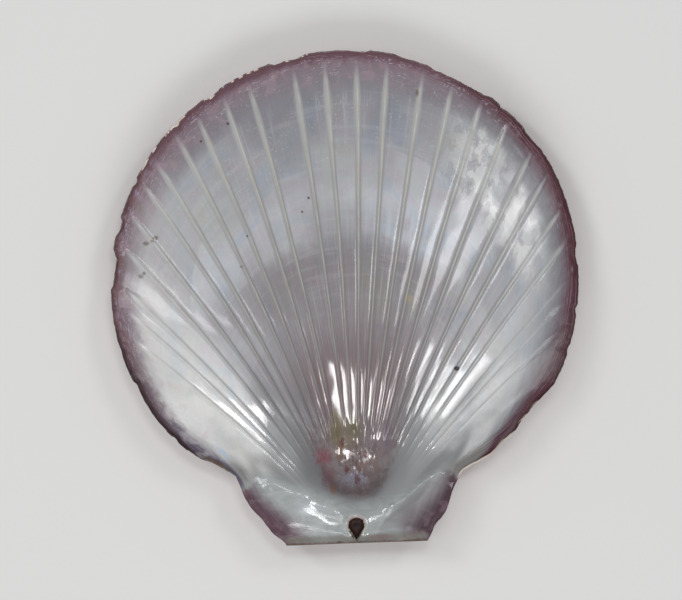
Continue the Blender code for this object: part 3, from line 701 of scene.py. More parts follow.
def shell_material():
    p = Paint("shell_pearl")
    T0, K0, rim0 = p.attribute("growth")
    X0, Y0, Z0 = p.attribute("place")
    place = p.combine(X0, Y0, Z0)
    # everything but the noises reads the places through a hair's breadth of this noise, which makes the
    # renderer work the masks out one after another, as they are needed, and not all at once
    hair = p.mul(p.noise(place, 0.10, 0), 1e-6)
    T, K, rim, X, Y = (p.add(v, hair) for v in (T0, K0, rim0, X0, Y0))
    rib, plate, inner = (p.add(v, hair) for v in p.attribute("zone"))
    pit, side, across = (p.add(v, hair) for v in p.attribute("near"))
    side_t = p.math("ABSOLUTE", T)
    side_x = p.math("ABSOLUTE", X)

    # noises that several parts share; the fans stretch along the rays or along the growth lines
    cloud = p.noise(place, 0.10, 3, 0.55, 0.3)
    patch = p.noise(p.combine(p.mul(T0, 0.20), p.mul(K0, 22.0), 1.0), 1.0, 4, 0.6, 0.6)
    streak = p.noise(p.combine(p.mul(T0, 2.2), p.mul(K0, 5.0), 2.0), 1.0, 4, 0.65)
    striae = p.noise(p.combine(p.mul(T0, 7.0), p.mul(K0, 7.0), 3.0), 1.0, 3, 0.6)
    growth = p.noise(p.combine(p.mul(T0, 0.07), p.mul(K0, 70.0), 4.0), 1.0, 4, 0.6)
    margin = p.noise(p.combine(p.mul(T0, 0.22), p.mul(rim0, 2.6), 5.0), 1.0, 4, 0.6)
    ragged = p.sub(p.noise(p.combine(p.mul(T0, 0.9), p.mul(K0, 30.0), 6.0), 1.0, 5, 0.65), 0.5)
    mid = p.noise(place, 0.45, 4, 0.6, 0.4)
    grain = p.noise(place, 2.4, 3, 0.65)
    fine = p.noise(place, 6.0, 2, 0.6)
    wobble = p.mul(p.sub(p.noise(p.combine(p.mul(T0, 0.25), 0.0, 7.0), 1.0, 3), 0.5), 0.03)
    k2 = p.add(K, wobble)
    calm = p.step(42.0, 30.0, side_t, (0.25, 1.0))

    # -- pearl between the ribs: lavender grey, paler away from the margin
    rise = p.step(0.97, 0.70, k2)
    colour = p.mix(p.step(0.36, 0.64, cloud), p.mix(rise, srgb(128, 126, 134), srgb(164, 165, 170)),
                   p.mix(rise, srgb(138, 137, 145), srgb(178, 180, 184)))
    colour = p.mix(p.mul(p.step(-8.0, -30.0, T), p.step(0.62, 0.74, K), 0.8), colour, srgb(188, 189, 191))
    colour = p.mix(p.mul(p.step(2.0, 18.0, T), p.step(0.68, 0.80, K), p.step(27.0, 17.0, T, (0.08, 0.42))), colour, srgb(184, 186, 189))
    centre = p.mul(p.step(0.660, 0.585, p.add(k2, p.mul(p.sub(patch, 0.5), 0.05))), p.step(36.0, 14.0, side_t))
    low = p.mul(p.step(0.52, 0.34, K), p.step(32.0, 12.0, side_t))
    colour = p.mix(p.mul(centre, 0.8), colour, srgb(130, 121, 124))
    colour = p.mix(p.mul(low, 0.8), colour, srgb(108, 85, 89))
    colour = p.mix(p.mul(p.near(T, -33.0, 6.0), p.near(K, 0.44, 0.14), 0.5), colour, srgb(134, 131, 135))
    # paler bands
    arc = p.curve(T, -60.0, 60.0, [(-60, 0), (-40, 0), (-27, .70), (-8, .55), (0, .7), (8, .9), (18, .9), (27, .3), (40, .1), (60, 0)])
    band = p.add(p.near(k2, 0.712, 0.055), p.mul(p.near(k2, 0.645, 0.022), p.step(0.0, 8.0, T), 0.7))
    band = p.mul(band, arc, p.step(0.25, 0.6, p.add(patch, 0.12)))
    colour = p.mix(p.mul(band, 0.5), colour, srgb(202, 206, 214))
    # the pallial line, sharp on its outer side
    line = p.curve(T, -60.0, 60.0, [(-60, .60), (-45, .66), (-34.5, .735), (-25.5, .782), (-10, .80), (9, .812), (20, .79), (28, .755), (45, .66), (60, .60)])
    line = p.add(line, p.mul(p.sub(p.noise(p.combine(p.mul(T0, 0.5), 0.0, 8.0), 1.0, 2), 0.5), 0.008))
    inside = p.step(0.0, 0.005, p.sub(line, K))
    left_patch = p.mul(inside, p.step(-35.6, -34.4, T), p.step(-24.6, -26.2, T), p.step(0.62, 0.74, K))
    right_line = p.mul(inside, p.step(6.0, 10.0, T), p.step(33.0, 27.0, T), p.step(0.64, 0.78, K))
    colour = p.mix(p.mul(left_patch, p.step(0.30, 0.65, mid, (0.3, 0.7))), colour, srgb(202, 206, 212))
    colour = p.mix(p.mul(right_line, 0.3), colour, srgb(202, 206, 213))
    # milky flanks; the right one darkens towards its margin, partly the pearl fading to plum and partly painted shade
    # where the flank turns away from the light, and dims at its lower end
    milk_left = p.mul(p.step(-33.0, -43.0, T), p.step(0.30, 0.48, p.add(K, p.step(-40.0, -48.0, T, (-0.05, 0.03)))))
    milk_right = p.mul(p.step(28.0, 42.0, T), p.step(0.26, 0.46, K), 0.85)
    cream = p.mix(p.step(0.35, 0.65, mid), srgb(212, 213, 211), srgb(223, 223, 220))
    colour = p.mix(p.mul(milk_left, 0.95), colour, cream)
    colour = p.mix(milk_right, colour, p.mix(p.step(0.35, 0.65, mid), srgb(194, 196, 196), srgb(208, 208, 206)))
    # ramp of the right flank's margin: pearl fading to plum, with painted shade
    dim = p.add(K, p.step(42.0, 54.0, T, (0.0, 0.012)))
    flank_shade_ramp = p.ramp(p.linear(0.68, 1.0, dim), [(0.0, srgb(190, 191, 192)), (0.25, srgb(178, 180, 183)), (0.42, srgb(162, 164, 168)),
                                             (0.56, srgb(146, 149, 154)), (0.70, srgb(128, 129, 135)), (0.82, srgb(106, 103, 109)), (1.0, srgb(84, 76, 80))])
    colour = p.mix(p.mul(p.step(32.0, 42.0, T), p.step(0.64, 0.74, dim), 0.95), colour, flank_shade_ramp)
    colour = p.mix(p.mul(p.step(45.0, 53.0, T), p.step(0.58, 0.48, K), 0.8), colour, srgb(132, 133, 132))
    # paler band on the left flank at T -39: a painted highlight on the pearl
    colour = p.mix(p.mul(p.near(T, -39.0, 5.5), p.step(0.44, 0.52, K), p.step(0.74, 0.64, K), 0.55), colour, srgb(226, 228, 228))
    colour = p.mix(p.mul(p.step(-53.0, -56.8, T), p.step(0.84, 0.78, K), 0.75), colour, p.mix(p.near(K, 0.67, 0.08), srgb(138, 139, 139), srgb(190, 192, 192)))
    colour = p.mix(p.mul(p.step(53.0, 56.0, T), p.step(0.84, 0.76, K), 0.5), colour, srgb(100, 99, 99))
    colour = p.mix(p.mul(p.step(52.0, 56.0, T), p.step(0.56, 0.50, K), 0.5), colour, srgb(108, 108, 108))
    # soft darker and paler areas; the near-white one at T -42.5, k 0.445 is a painted highlight, and the darker ones
    # near the right margin at T 48.5 and 54 are partly painted shade
    for at_t, at_k, wide_t, wide_k, amount, tone in ((-54.0, 0.48, 5.0, 0.07, 0.6, (136, 137, 136)), (51.0, 0.53, 4.5, 0.06, 0.6, (110, 110, 110)),
                                                     (40.0, 0.53, 4.5, 0.14, 0.8, (156, 157, 158)), (-42.5, 0.445, 4.5, 0.06, 0.6, (236, 238, 240)),
                                                     (-48.0, 0.34, 4.0, 0.07, 0.5, (198, 200, 200)), (54.0, 0.74, 5.0, 0.07, 0.5, (108, 106, 108)), (48.5, 0.70, 3.0, 0.14, 0.35, (128, 128, 132))):
        colour = p.mix(p.mul(p.near(T, at_t, wide_t), p.near(K, at_k, wide_k), amount), colour, srgb(*tone))
    colour = p.mix(p.mul(p.step(20.0, 23.0, T), p.step(38.0, 35.0, T), p.step(0.62, 0.67, K), p.step(0.80, 0.76, K), 0.40), colour, srgb(134, 135, 140))
    colour = p.mix(p.mul(p.near(T, 24.5, 3.5), p.step(0.76, 0.80, K), p.step(0.94, 0.91, K), 0.45), colour, srgb(136, 136, 142))
    colour = p.mix(p.mul(p.near(T, -24.0, 5.0), p.near(K, 0.68, 0.06), 0.5), colour, srgb(202, 205, 210))
    # faint play of colour in the pearl
    tint = p.noise(p.combine(p.mul(T0, 0.11), p.mul(K0, 9.0), 21.0), 1.0, 3, 0.55, 1.2)
    play = p.ramp(tint, [(0.34, srgb(176, 196, 226)), (0.44, srgb(206, 212, 218)), (0.52, srgb(214, 190, 202)), (0.60, srgb(200, 206, 204)), (0.70, srgb(218, 210, 186))])
    colour = p.mix(p.mul(p.step(0.30, 0.50, K), p.step(0.97, 0.86, K), p.step(50.0, 34.0, side_t, (0.10, 0.26))), colour, play, "COLOR")
    glow = p.mul(p.near(T, 12.0, 13.0), p.near(k2, 0.665, 0.075), p.step(0.42, 0.60, p.noise(p.combine(p.mul(T0, 1.1), p.mul(K0, 11.0), 16.0), 1.0, 4, 0.65)))
    colour = p.mix(p.mul(glow, 0.5), colour, srgb(206, 216, 228))
    # fine texture: striae along the rays, hair lines along the growth, dots
    colour = p.mix(p.mul(p.step(0.50, 0.72, streak), 0.26, calm), colour, srgb(200, 203, 208))
    colour = p.mix(p.mul(p.step(0.54, 0.72, striae), p.step(0.30, 0.42, K), p.step(10.0, 26.0, side_t, (0.11, 0.20)), calm), colour, srgb(214, 218, 220))
    colour = p.mix(p.mul(p.step(0.52, 0.66, growth), p.step(0.40, 0.60, K), p.step(10.0, 26.0, side_t, (0.12, 0.18))), colour, srgb(204, 206, 212))
    stipple = p.mul(p.step(0.58, 0.66, grain), p.step(0.72, 0.82, K), p.step(0.4, 0.6, patch), calm)
    colour = p.mix(p.mul(stipple, 0.30), colour, srgb(218, 221, 225))

    # -- ribs, milkier than what lies between them, with painted shade on one flank and a pale warm line along some crests, partly their own tint and partly a painted highlight
    off = p.math("ABSOLUTE", across)
    bone = p.ramp(p.linear(0.30, 1.0, K), [(0.0, srgb(150, 142, 142)), (0.32, srgb(158, 155, 154)), (0.62, srgb(168, 168, 166)), (0.80, srgb(180, 181, 179)), (1.0, srgb(182, 181, 180))])
    bone = p.mix(p.mul(milk_left, 0.8), bone, srgb(212, 213, 211))
    bone = p.mix(p.mul(p.step(30.0, 44.0, T), 0.7), bone, srgb(172, 173, 173))
    bone = p.mix(p.mul(p.step(0.4, 0.7, streak), 0.25), bone, srgb(168, 166, 158))
    colour = p.mix(p.mul(rib, p.step(46.0, 22.0, side_t, (0.30, 0.85))), colour, bone)
    # painted shade on the rib flanks, darker on the side away from the light
    shade = p.mul(rib, p.step(0.40, 0.70, off), p.step(0.92, 0.80, K), p.step(0.0, 0.25, across, (0.30, 0.55)))
    colour = p.mix(p.mul(shade, p.step(46.0, 30.0, side_t, (0.3, 1.0))), colour, srgb(134, 133, 136))
    # pale warm line along some crests: partly the rib's own tint, partly a painted highlight
    crest_line_and_highlight = p.mul(rib, p.near(across, p.step(-6.0, 6.0, T, (0.22, 0.10)), 0.36), p.step(0.30, 0.55, p.noise(p.combine(p.mul(T0, 0.5), p.mul(K0, 14.0), 15.0), 1.0, 3, 0.6)))
    colour = p.mix(p.mul(crest_line_and_highlight, p.step(0.36, 0.55, K), 0.55), colour, p.mix(p.step(0.42, 0.62, patch), srgb(214, 213, 208), srgb(206, 196, 178)))

    # -- margin: plum at the rim, then mauve, then a faint haze
    narrow = p.math("MAXIMUM", p.step(0.66, 0.90, K, (0.45, 1.0)), p.step(53.0, 49.0, side_t))
    depth = p.math("DIVIDE", p.math("MAXIMUM", p.add(rim, p.mul(ragged, 2.2)), 0.0), narrow)
    at = p.math("DIVIDE", depth, 8.0)
    top = p.ramp(at, [(0.03, srgb(98, 68, 76)), (0.14, srgb(106, 76, 86)), (0.19, srgb(120, 94, 106)), (0.25, srgb(128, 110, 119)),
                      (0.40, srgb(134, 121, 129)), (0.70, srgb(134, 130, 137)), (1.0, srgb(138, 138, 145))])
    left = p.ramp(at, [(0.03, srgb(84, 58, 62)), (0.09, srgb(112, 82, 88)), (0.14, srgb(122, 92, 97)), (0.20, srgb(128, 107, 111)),
                       (0.32, srgb(136, 124, 127)), (0.42, srgb(150, 142, 147)), (0.52, srgb(162, 158, 162)), (0.75, srgb(178, 178, 180))])
    lower = p.ramp(at, [(0.03, srgb(50, 34, 38)), (0.09, srgb(76, 56, 62)), (0.14, srgb(96, 78, 86)), (0.20, srgb(114, 100, 106)),
                        (0.26, srgb(132, 120, 126)), (0.33, srgb(164, 158, 160)), (0.42, srgb(196, 196, 196)), (0.6, srgb(206, 206, 204))])
    right = p.ramp(at, [(0.03, srgb(64, 32, 36)), (0.12, srgb(83, 47, 55)), (0.19, srgb(90, 61, 69)), (0.26, srgb(101, 81, 89)),
                        (0.34, srgb(112, 101, 109)), (0.42, srgb(124, 120, 125)), (0.55, srgb(136, 136, 140)), (0.75, srgb(158, 159, 161))])
    edge = p.mix(p.step(-20.0, -32.0, T), top, left)
    edge = p.mix(p.step(-44.0, -52.0, T), edge, lower)
    edge = p.mix(p.step(10.0, 24.0, T), edge, right)
    edge = p.mix(p.mul(p.step(41.0, 46.0, T), p.step(53.0, 49.5, T), p.step(3.8, 2.2, rim), 0.35), edge, srgb(70, 50, 56))
    edge = p.mix(p.mul(p.step(48.0, 53.0, T), p.step(0.78, 0.84, K), p.step(3.0, 5.0, rim), 0.7), edge, srgb(142, 134, 138))
    edge = p.mix(p.mul(p.step(0.62, 0.74, margin), 0.35), edge, srgb(176, 160, 172))
    edge = p.mix(p.mul(p.step(0.42, 0.28, margin), p.step(4.0, 1.5, rim), 0.4), edge, srgb(82, 54, 64))
    blue = p.mul(p.step(-52.5, -56.0, T), p.step(0.98, 0.86, K), p.step(2.8, 1.8, rim))
    edge = p.mix(p.mul(blue, 0.45), edge, srgb(100, 102, 126))
    wide = p.curve(T, -60.0, 60.0, [(-60, .34), (-52, .46), (-46, .50), (-40, .60), (-30, .72), (-20, .82), (10, .80), (20, .66), (30, .66), (45, .62), (52, .56), (57, .44), (60, .4)], 10.0)
    low_end = p.mul(p.math("MAXIMUM", p.step(0.60, 0.70, K), p.step(-50.0, -46.0, T)), p.math("MAXIMUM", p.step(0.68, 0.80, K), p.step(50.0, 46.0, T)))
    bare_rib = p.sub(1.0, p.mul(rib, 0.85))
    share = p.mul(p.step(1.0, 0.62, p.math("DIVIDE", depth, wide)), bare_rib, low_end, p.step(0.8, 0.3, plate))
    colour = p.mix(share, colour, edge)
    plum_share = p.mul(p.step(2.4, 0.9, depth), low_end, p.step(0.8, 0.3, plate))
    # where the plum gives out, the rim is greyish and lets some light through
    bare_end = p.mul(p.sub(1.0, low_end), p.step(2.4, 1.2, p.add(rim, p.mul(ragged, 1.5))), p.step(40.0, 48.0, side_t))
    colour = p.mix(p.mul(bare_end, 0.8), colour, srgb(122, 122, 117))
    # pale and lilac dashes along the rim, partly the pearl's own tint and partly painted sheen along the growth lines;
    # foam of pinkish dots, cream broken edge
    patchy = p.step(0.42, 0.60, p.noise(p.combine(p.mul(T0, 0.16), p.mul(rim0, 0.5), 11.0), 1.0, 2))
    dash_noise = p.noise(p.combine(p.mul(T0, 0.8), p.mul(rim0, 5.2), 9.0), 1.0, 4, 0.7)
    sheen_dash = p.mul(p.step(0.56, 0.66, dash_noise), p.step(0.5, 1.1, rim), p.step(5.0, 3.0, rim), p.step(0.0, 1.0, patchy, (0.25, 1.0)), bare_rib)
    colour = p.mix(p.mul(sheen_dash, p.step(24.0, 10.0, T, (0.35, 0.85)), low_end), colour, srgb(196, 190, 206))
    # lilac dashes at the upper left: partly the pearl's tint, partly painted sheen
    lilac_sheen = p.noise(p.combine(p.mul(T0, 1.3), p.mul(rim0, 4.2), 17.0), 1.0, 3, 0.7)
    lilac_sheen = p.mul(p.step(0.50, 0.60, lilac_sheen), p.step(0.35, 0.8, rim), p.step(4.2, 2.4, rim), p.step(-24.0, -28.0, T), p.step(-49.0, -44.0, T))
    cluster = p.step(0.44, 0.54, p.noise(p.combine(p.mul(T0, 0.30), 0.0, 18.0), 1.0, 2))
    colour = p.mix(p.mul(lilac_sheen, cluster, 0.65), colour, srgb(164, 156, 186))
    blush = p.mul(p.step(0.46, 0.62, mid), p.step(7.5, 4.0, rim), p.step(1.0, 2.2, rim), p.step(16.0, 4.0, T), low_end, bare_rib)
    colour = p.mix(p.mul(blush, 0.30), colour, srgb(176, 148, 158))
    layers = p.noise(p.combine(p.mul(T0, 0.10), p.mul(rim0, 3.6), 23.0), 1.0, 3, 0.7)
    right_rim = p.mul(p.step(-2.0, 14.0, T), p.step(3.0, 1.6, rim), p.step(0.5, 0.62, K))
    colour = p.mix(p.mul(right_rim, p.step(0.54, 0.62, layers), 0.45), colour, srgb(150, 112, 126))
    colour = p.mix(p.mul(right_rim, p.step(0.44, 0.36, layers), 0.40), colour, srgb(62, 36, 42))
    foam = p.mul(p.step(0.57, 0.66, grain), p.step(0.6, 1.2, rim), p.step(6.5, 3.5, rim), patchy, p.step(28.0, 16.0, T), bare_rib)
    colour = p.mix(p.mul(foam, 0.5, low_end), colour, srgb(204, 194, 200))
    worn = p.curve(T, -60.0, 60.0, [(-60, .45), (-50, .25), (-36, .35), (-24, .66), (-10, .60), (0, .42), (10, .25), (25, .2), (45, .2), (54, .6), (60, .8)])
    chip = p.noise(p.combine(p.mul(T0, 0.35), 0.0, 12.0), 1.0, 3, 0.6)
    cut = p.mul(p.step(0.28, 0.12, rim), p.step(0.0, 0.10, p.sub(p.add(worn, p.mul(p.sub(chip, 0.5), 2.4)), 0.62)), p.step(0.05, 0.3, K))
    colour = p.mix(p.mul(cut, 0.9), colour, p.mix(p.step(0.40, 0.60, dash_noise), srgb(206, 184, 164), srgb(240, 232, 220)))

    for cx, cy, rx, ry, tone in ((-27.55, 75.3, .42, .8, (112, 88, 62)), (13.15, 77.3, .40, .9, (96, 78, 54))):
        colour = p.mix(p.mul(p.spot(X, Y, cx, cy, rx, ry, 0.9), 0.7), colour, srgb(*tone))

    for at_t, at_k, wide_t, wide_k, amount, tone in ((57.0, 0.91, 4.0, 0.08, 0.45, (130, 122, 126)), (48.0, 0.88, 3.5, 0.13, 0.30, (92, 84, 88)),
                                                     (-42.0, 0.95, 7.0, 0.035, 0.40, (108, 88, 96)), (-53.5, 0.90, 4.5, 0.05, 0.40, (94, 82, 90)),
                                                     (-51.0, 0.60, 5.0, 0.11, 0.35, (172, 172, 172))):
        colour = p.mix(p.mul(p.near(T, at_t, wide_t), p.near(K, at_k, wide_k), amount), colour, srgb(*tone))

    # -- satin clouds at the upper right and left: pale patches painted as the pearl's sheen on its patchy surface, with darker holes between them
    top_end = p.step(20.0, 32.0, T, (0.945, 0.905))
    below = p.step(0.0, 0.035, p.sub(top_end, p.add(K, p.mul(ragged, 0.05))))
    below = p.mul(below, p.sub(1.0, p.mul(rib, 0.8)))
    satin_sheen = p.mul(p.step(14.0, 19.0, T), p.step(38.0, 32.0, T), p.step(0.76, 0.83, K), below, p.step(0.40, 0.62, patch))
    colour = p.mix(p.mul(p.step(14.0, 26.0, T), p.step(37.0, 32.0, T), p.step(0.76, 0.84, K), below, 0.40), colour, srgb(204, 205, 206))
    colour = p.mix(p.mul(p.near(T, 30.0, 6.0), p.near(K, 0.83, 0.06), below, p.step(0.36, 0.56, patch), 0.5), colour, srgb(230, 231, 231))
    colour = p.mix(p.mul(satin_sheen, 0.30), colour, srgb(222, 223, 223))
    shred = p.noise(p.combine(p.mul(T0, 0.38), p.mul(K0, 15.0), 19.0), 1.0, 4, 0.55, 0.35)
    field = p.mul(p.step(13.0, 20.0, T), p.step(39.0, 32.0, T), p.step(0.74, 0.82, K), below)
    colour = p.mix(p.mul(field, p.step(0.50, 0.53, shred), 0.50), colour, srgb(228, 228, 227))
    colour = p.mix(p.mul(field, p.step(0.445, 0.415, shred), 0.45), colour, srgb(146, 144, 152))
    colour = p.mix(p.mul(field, p.step(0.56, 0.64, grain), p.step(26.0, 20.0, T), 0.4), colour, srgb(226, 227, 228))
    colour = p.mix(p.mul(p.near(T, 24.3, 3.4), p.near(K, 0.895, 0.045), 0.45), colour, srgb(132, 128, 134))
    sheen = p.mul(p.step(-30.0, -36.0, T), p.step(0.70, 0.8, K), p.step(0.94, 0.88, K), p.step(0.45, 0.62, mid))
    colour = p.mix(p.mul(sheen, 0.35), colour, srgb(206, 206, 204))

    # -- umbo: stained, lumpy pearl
    floor = p.attribute("gloss")[1]
    wall = p.mul(p.step(0.44, 0.30, K), p.step(14.0, 24.0, side_t))
    mottle = p.noise(place, 0.55, 4, 0.6, 0.5)
    speck = p.noise(place, 1.6, 4, 0.65, 0.4)
    colour = p.mix(p.mul(wall, 0.8), colour, p.mix(p.step(20.0, p.step(0.0, 1.0, T, (46.0, 40.0)), side_t), srgb(118, 114, 117), p.mix(p.step(0.2, 0.34, K), p.mix(p.step(20.0, 34.0, T), srgb(134, 136, 137), srgb(160, 161, 161)), srgb(170, 172, 172))))
    drag = p.noise(p.combine(p.mul(X0, 1.5), p.mul(Y0, 0.28), 41.0), 1.0, 4, 0.6)
    worn_floor = p.step(0.25, 0.80, p.add(floor, p.mul(p.sub(drag, 0.5), 1.1)))
    colour = p.mix(p.mul(worn_floor, 0.75), colour, p.mix(p.step(0.40, 0.62, mottle), srgb(104, 91, 92), srgb(124, 116, 118)))

    colour = p.mix(p.mul(p.near(T, 55.0, 6.0), p.step(0.40, 0.34, K), p.step(0.8, 0.3, plate), 0.6), colour, srgb(124, 123, 124))
    colour = p.mix(p.mul(p.near(T, -33.0, 9.0), p.near(K, 0.41, 0.12), 0.35), colour, srgb(114, 113, 117))
    # pale patch at T 34.5, k 0.385: a painted highlight, drawn as paler pearl
    colour = p.mix(p.mul(p.near(T, 34.5, 3.4), p.near(K, 0.385, 0.055), p.step(0.30, 0.50, streak), 0.75), colour, srgb(240, 241, 240))

    def stain(colour, cx, cy, rx, ry, tint, share, low=0.30, high=0.62, noise=None):
        s = p.spot(X, Y, cx, cy, rx * 1.25, ry * 1.25, 1.0)
        ragged = p.add(s, p.mul(p.sub(noise or mottle, 0.5), 1.8))
        return p.mix(p.mul(p.step(low, high, ragged), p.step(0.0, 0.3, s), share), colour, srgb(*tint))

    colour = stain(colour, -1.6, 19.0, 4.2, 6.2, (118, 108, 88), 0.7, 0.2, 0.9, drag)
    colour = stain(colour, -2.9, 20.0, 1.2, 5.0, (104, 92, 62), 0.7, 0.2, 0.9, drag)
    colour = stain(colour, 0.4, 19.8, 1.5, 4.0, (104, 94, 70), 0.75, 0.2, 0.9, drag)
    colour = stain(colour, 4.6, 18.2, 2.2, 5.0, (120, 106, 112), 0.6, 0.2, 0.8, drag)
    colour = stain(colour, -5.2, 14.9, 2.5, 2.5, (126, 76, 84), 0.8, 0.2, 1.0, speck)
    scratch = p.noise(p.combine(p.mul(X0, 3.2), p.mul(Y0, 0.7), 22.0), 1.0, 3, 0.6)
    colour = p.mix(p.mul(p.spot(X, Y, -5.2, 15.0, 2.2, 2.4, 0.9), p.step(0.46, 0.68, scratch), 0.5), colour, srgb(104, 48, 58))
    colour = p.mix(p.mul(p.spot(X, Y, 0.2, 14.3, 3.4, 4.6, 0.8), p.step(0.44, 0.60, scratch), 0.7), colour, srgb(86, 56, 56))
    colour = p.mix(p.mul(p.spot(X, Y, 4.2, 12.6, 2.4, 4.2, 0.8), p.step(0.46, 0.62, scratch), 0.65), colour, srgb(112, 86, 74))
    colour = stain(colour, -4.5, 11.4, 1.9, 3.2, (122, 92, 98), 0.7, 0.2, 0.9, speck)
    colour = stain(colour, -0.1, 11.0, 3.0, 1.9, (140, 142, 160), 0.6, 0.2, 0.9, speck)
    colour = stain(colour, -3.8, 9.2, 1.0, 1.2, (132, 98, 74), 0.6, 0.3, 0.8, speck)
    colour = stain(colour, -2.4, 15.7, 0.8, 3.0, (108, 78, 54), 0.7, 0.3, 0.7, speck)
    colour = stain(colour, 1.6, 13.4, 1.3, 0.9, (124, 92, 72), 0.55, 0.3, 0.8, speck)
    colour = stain(colour, 3.4, 14.0, 0.9, 1.5, (118, 94, 80), 0.55, 0.3, 0.8, speck)
    # the pale fleck at (2, 14.8) and the pale flecks over the umbo floor are painted glints; the dark flecks are maroon
    # specks
    colour = p.mix(p.mul(p.spot(X, Y, 2.0, 14.8, 0.9, 1.8, 0.8), p.step(0.42, 0.52, speck), 0.75), colour, srgb(232, 226, 226))
    glint_and_speck = p.noise(p.combine(p.mul(X0, 1.7), p.mul(Y0, 0.8), 31.0), 1.0, 4, 0.75)
    colour = p.mix(p.mul(p.spot(X, Y, 0.6, 14.6, 5.2, 6.4, 0.5), p.step(0.60, 0.65, glint_and_speck), 0.75), colour, srgb(226, 221, 223))
    colour = p.mix(p.mul(p.spot(X, Y, 0.6, 13.6, 5.0, 5.4, 0.6), p.step(0.42, 0.37, glint_and_speck), 0.6), colour, srgb(84, 62, 62))
    for cx, cy, rx, ry in ((-0.7, 15.3, 1.1, 1.0), (-1.3, 12.6, 0.7, 1.2), (0.4, 10.8, 0.8, 1.5), (1.9, 15.2, 0.6, 1.4), (0.9, 12.6, 0.5, 0.9), (-1.9, 17.4, 0.5, 1.3)):
        colour = stain(colour, cx, cy, rx, ry, (90, 44, 50), 0.75, 0.35, 0.75, speck)
    colour = stain(colour, 6.2, 18.4, 1.6, 4.4, (104, 90, 102), 0.6, 0.2, 0.9, drag)

    # -- porcelain hinge plate and ears
    swirl = p.noise(p.combine(p.mul(X0, 0.22), p.mul(Y0, 0.7), 0.0), 1.0, 4, 0.55, 1.2)
    porcelain_and_sheen = p.mix(p.step(0.35, 0.7, swirl), srgb(154, 159, 160), srgb(170, 174, 175))
    # the left of the plate is paler: a painted broad highlight
    porcelain_and_sheen = p.mix(p.mul(p.step(-2.0, -6.0, X), p.step(-15.0, -9.0, X), p.step(0.3, 0.7, mid), 0.5), porcelain_and_sheen, srgb(194, 197, 199))
    porcelain_and_sheen = p.mix(p.mul(p.step(4.0, 9.0, X), p.step(1.5, 3.5, Y), p.step(0.5, -2.0, side), 0.65), porcelain_and_sheen, srgb(138, 131, 134))
    colour = p.mix(plate, colour, porcelain_and_sheen)
    colour = p.mix(p.mul(p.near(T, 55.0, 6.5), p.step(0.42, 0.36, K), p.step(0.13, 0.17, K), 0.55), colour, srgb(112, 110, 111))
    # pale streaky patch left of the pit: a painted soft sheen
    colour = p.mix(p.mul(p.spot(X, Y, -8.3, 6.1, 2.8, 1.5, 1.0), p.step(0.35, 0.62, swirl, (0.3, 0.7))), colour, srgb(214, 221, 228))
    ear_wide = p.mul(p.step(10.0, 3.0, Y, (3.0, 4.8)), p.step(0.0, 4.0, X, (1.0, 1.28)))
    ear_depth = p.math("DIVIDE", p.add(rim, p.mul(ragged, 1.6)), ear_wide)
    ear = p.mul(p.step(0.3, 0.8, plate), p.step(14.0, 10.0, Y), p.step(6.5, 8.5, side_x))
    ear_lines = p.noise(p.combine(p.mul(rim0, 2.6), p.mul(Y0, 0.25), 10.0), 1.0, 3, 0.6)
    ear_tone = p.mix(p.step(0.30, 0.75, ear_lines), srgb(74, 42, 56), srgb(98, 70, 84))
    ear_tone = p.mix(p.mul(p.step(0.0, 4.0, X), 0.75), ear_tone, srgb(56, 30, 42))
    ear_tone = p.mix(p.mul(p.step(0.50, 0.66, mid), 0.35), ear_tone, srgb(140, 112, 126))
    ear_share = p.mul(ear, p.step(1.25, 0.25, ear_depth))
    colour = p.mix(p.mul(ear_share, 0.96), colour, ear_tone)
    # cream border of the pit, olive-grey ledge, brown stain along the hinge line
    border = p.mul(p.step(0.75, 0.15, pit), plate)
    colour = p.mix(p.mul(border, 0.55), colour, p.mix(p.step(3.2, 4.6, Y), srgb(176, 172, 160), srgb(182, 158, 156)))
    ledge = p.mul(plate, p.step(1.9, 1.0, Y), p.step(13.2, 11.0, side_x))
    colour = p.mix(p.mul(ledge, 0.75), colour, p.mix(p.step(0.4, 0.6, mid), srgb(108, 105, 98), srgb(122, 118, 110)))
    brown = p.mul(plate, p.step(0.60, 0.10, p.add(Y, p.mul(p.sub(grain, 0.5), 1.0))))
    colour = p.mix(p.mul(brown, 0.8), colour, srgb(86, 62, 50))
    colour = p.mix(p.mul(p.spot(X, Y, -3.0, 0.35, 0.7, 0.22), 0.6), colour, srgb(70, 46, 38))
    colour = p.mix(p.mul(p.spot(X, Y, 4.0, 1.0, 2.6, 0.6), 0.4), colour, srgb(126, 96, 92))

    # -- strokes and specks: the slit beside the pit, a painted blue-white glint on the left flank, a gold-brown rim, boring specks, dirt
    def stroke(x0, y0, x1, y1, width, soft=0.4):
        long, angle = math.hypot(x1 - x0, y1 - y0), math.atan2(y1 - y0, x1 - x0)
        cx, cy, c, s = (x0 + x1) / 2, (y0 + y1) / 2, math.cos(angle), math.sin(angle)
        dx, dy = p.sub(X, cx), p.sub(Y, cy)
        along, across = p.add(p.mul(dx, c), p.mul(dy, s)), p.sub(p.mul(dy, c), p.mul(dx, s))
        return p.spot(along, across, 0.0, 0.0, long / 2 + width / 2, width / 2, soft)

    colour = p.mix(p.mul(stroke(-1.30, 2.25, -0.50, 0.80, 0.34), 0.9), colour, srgb(30, 20, 18))
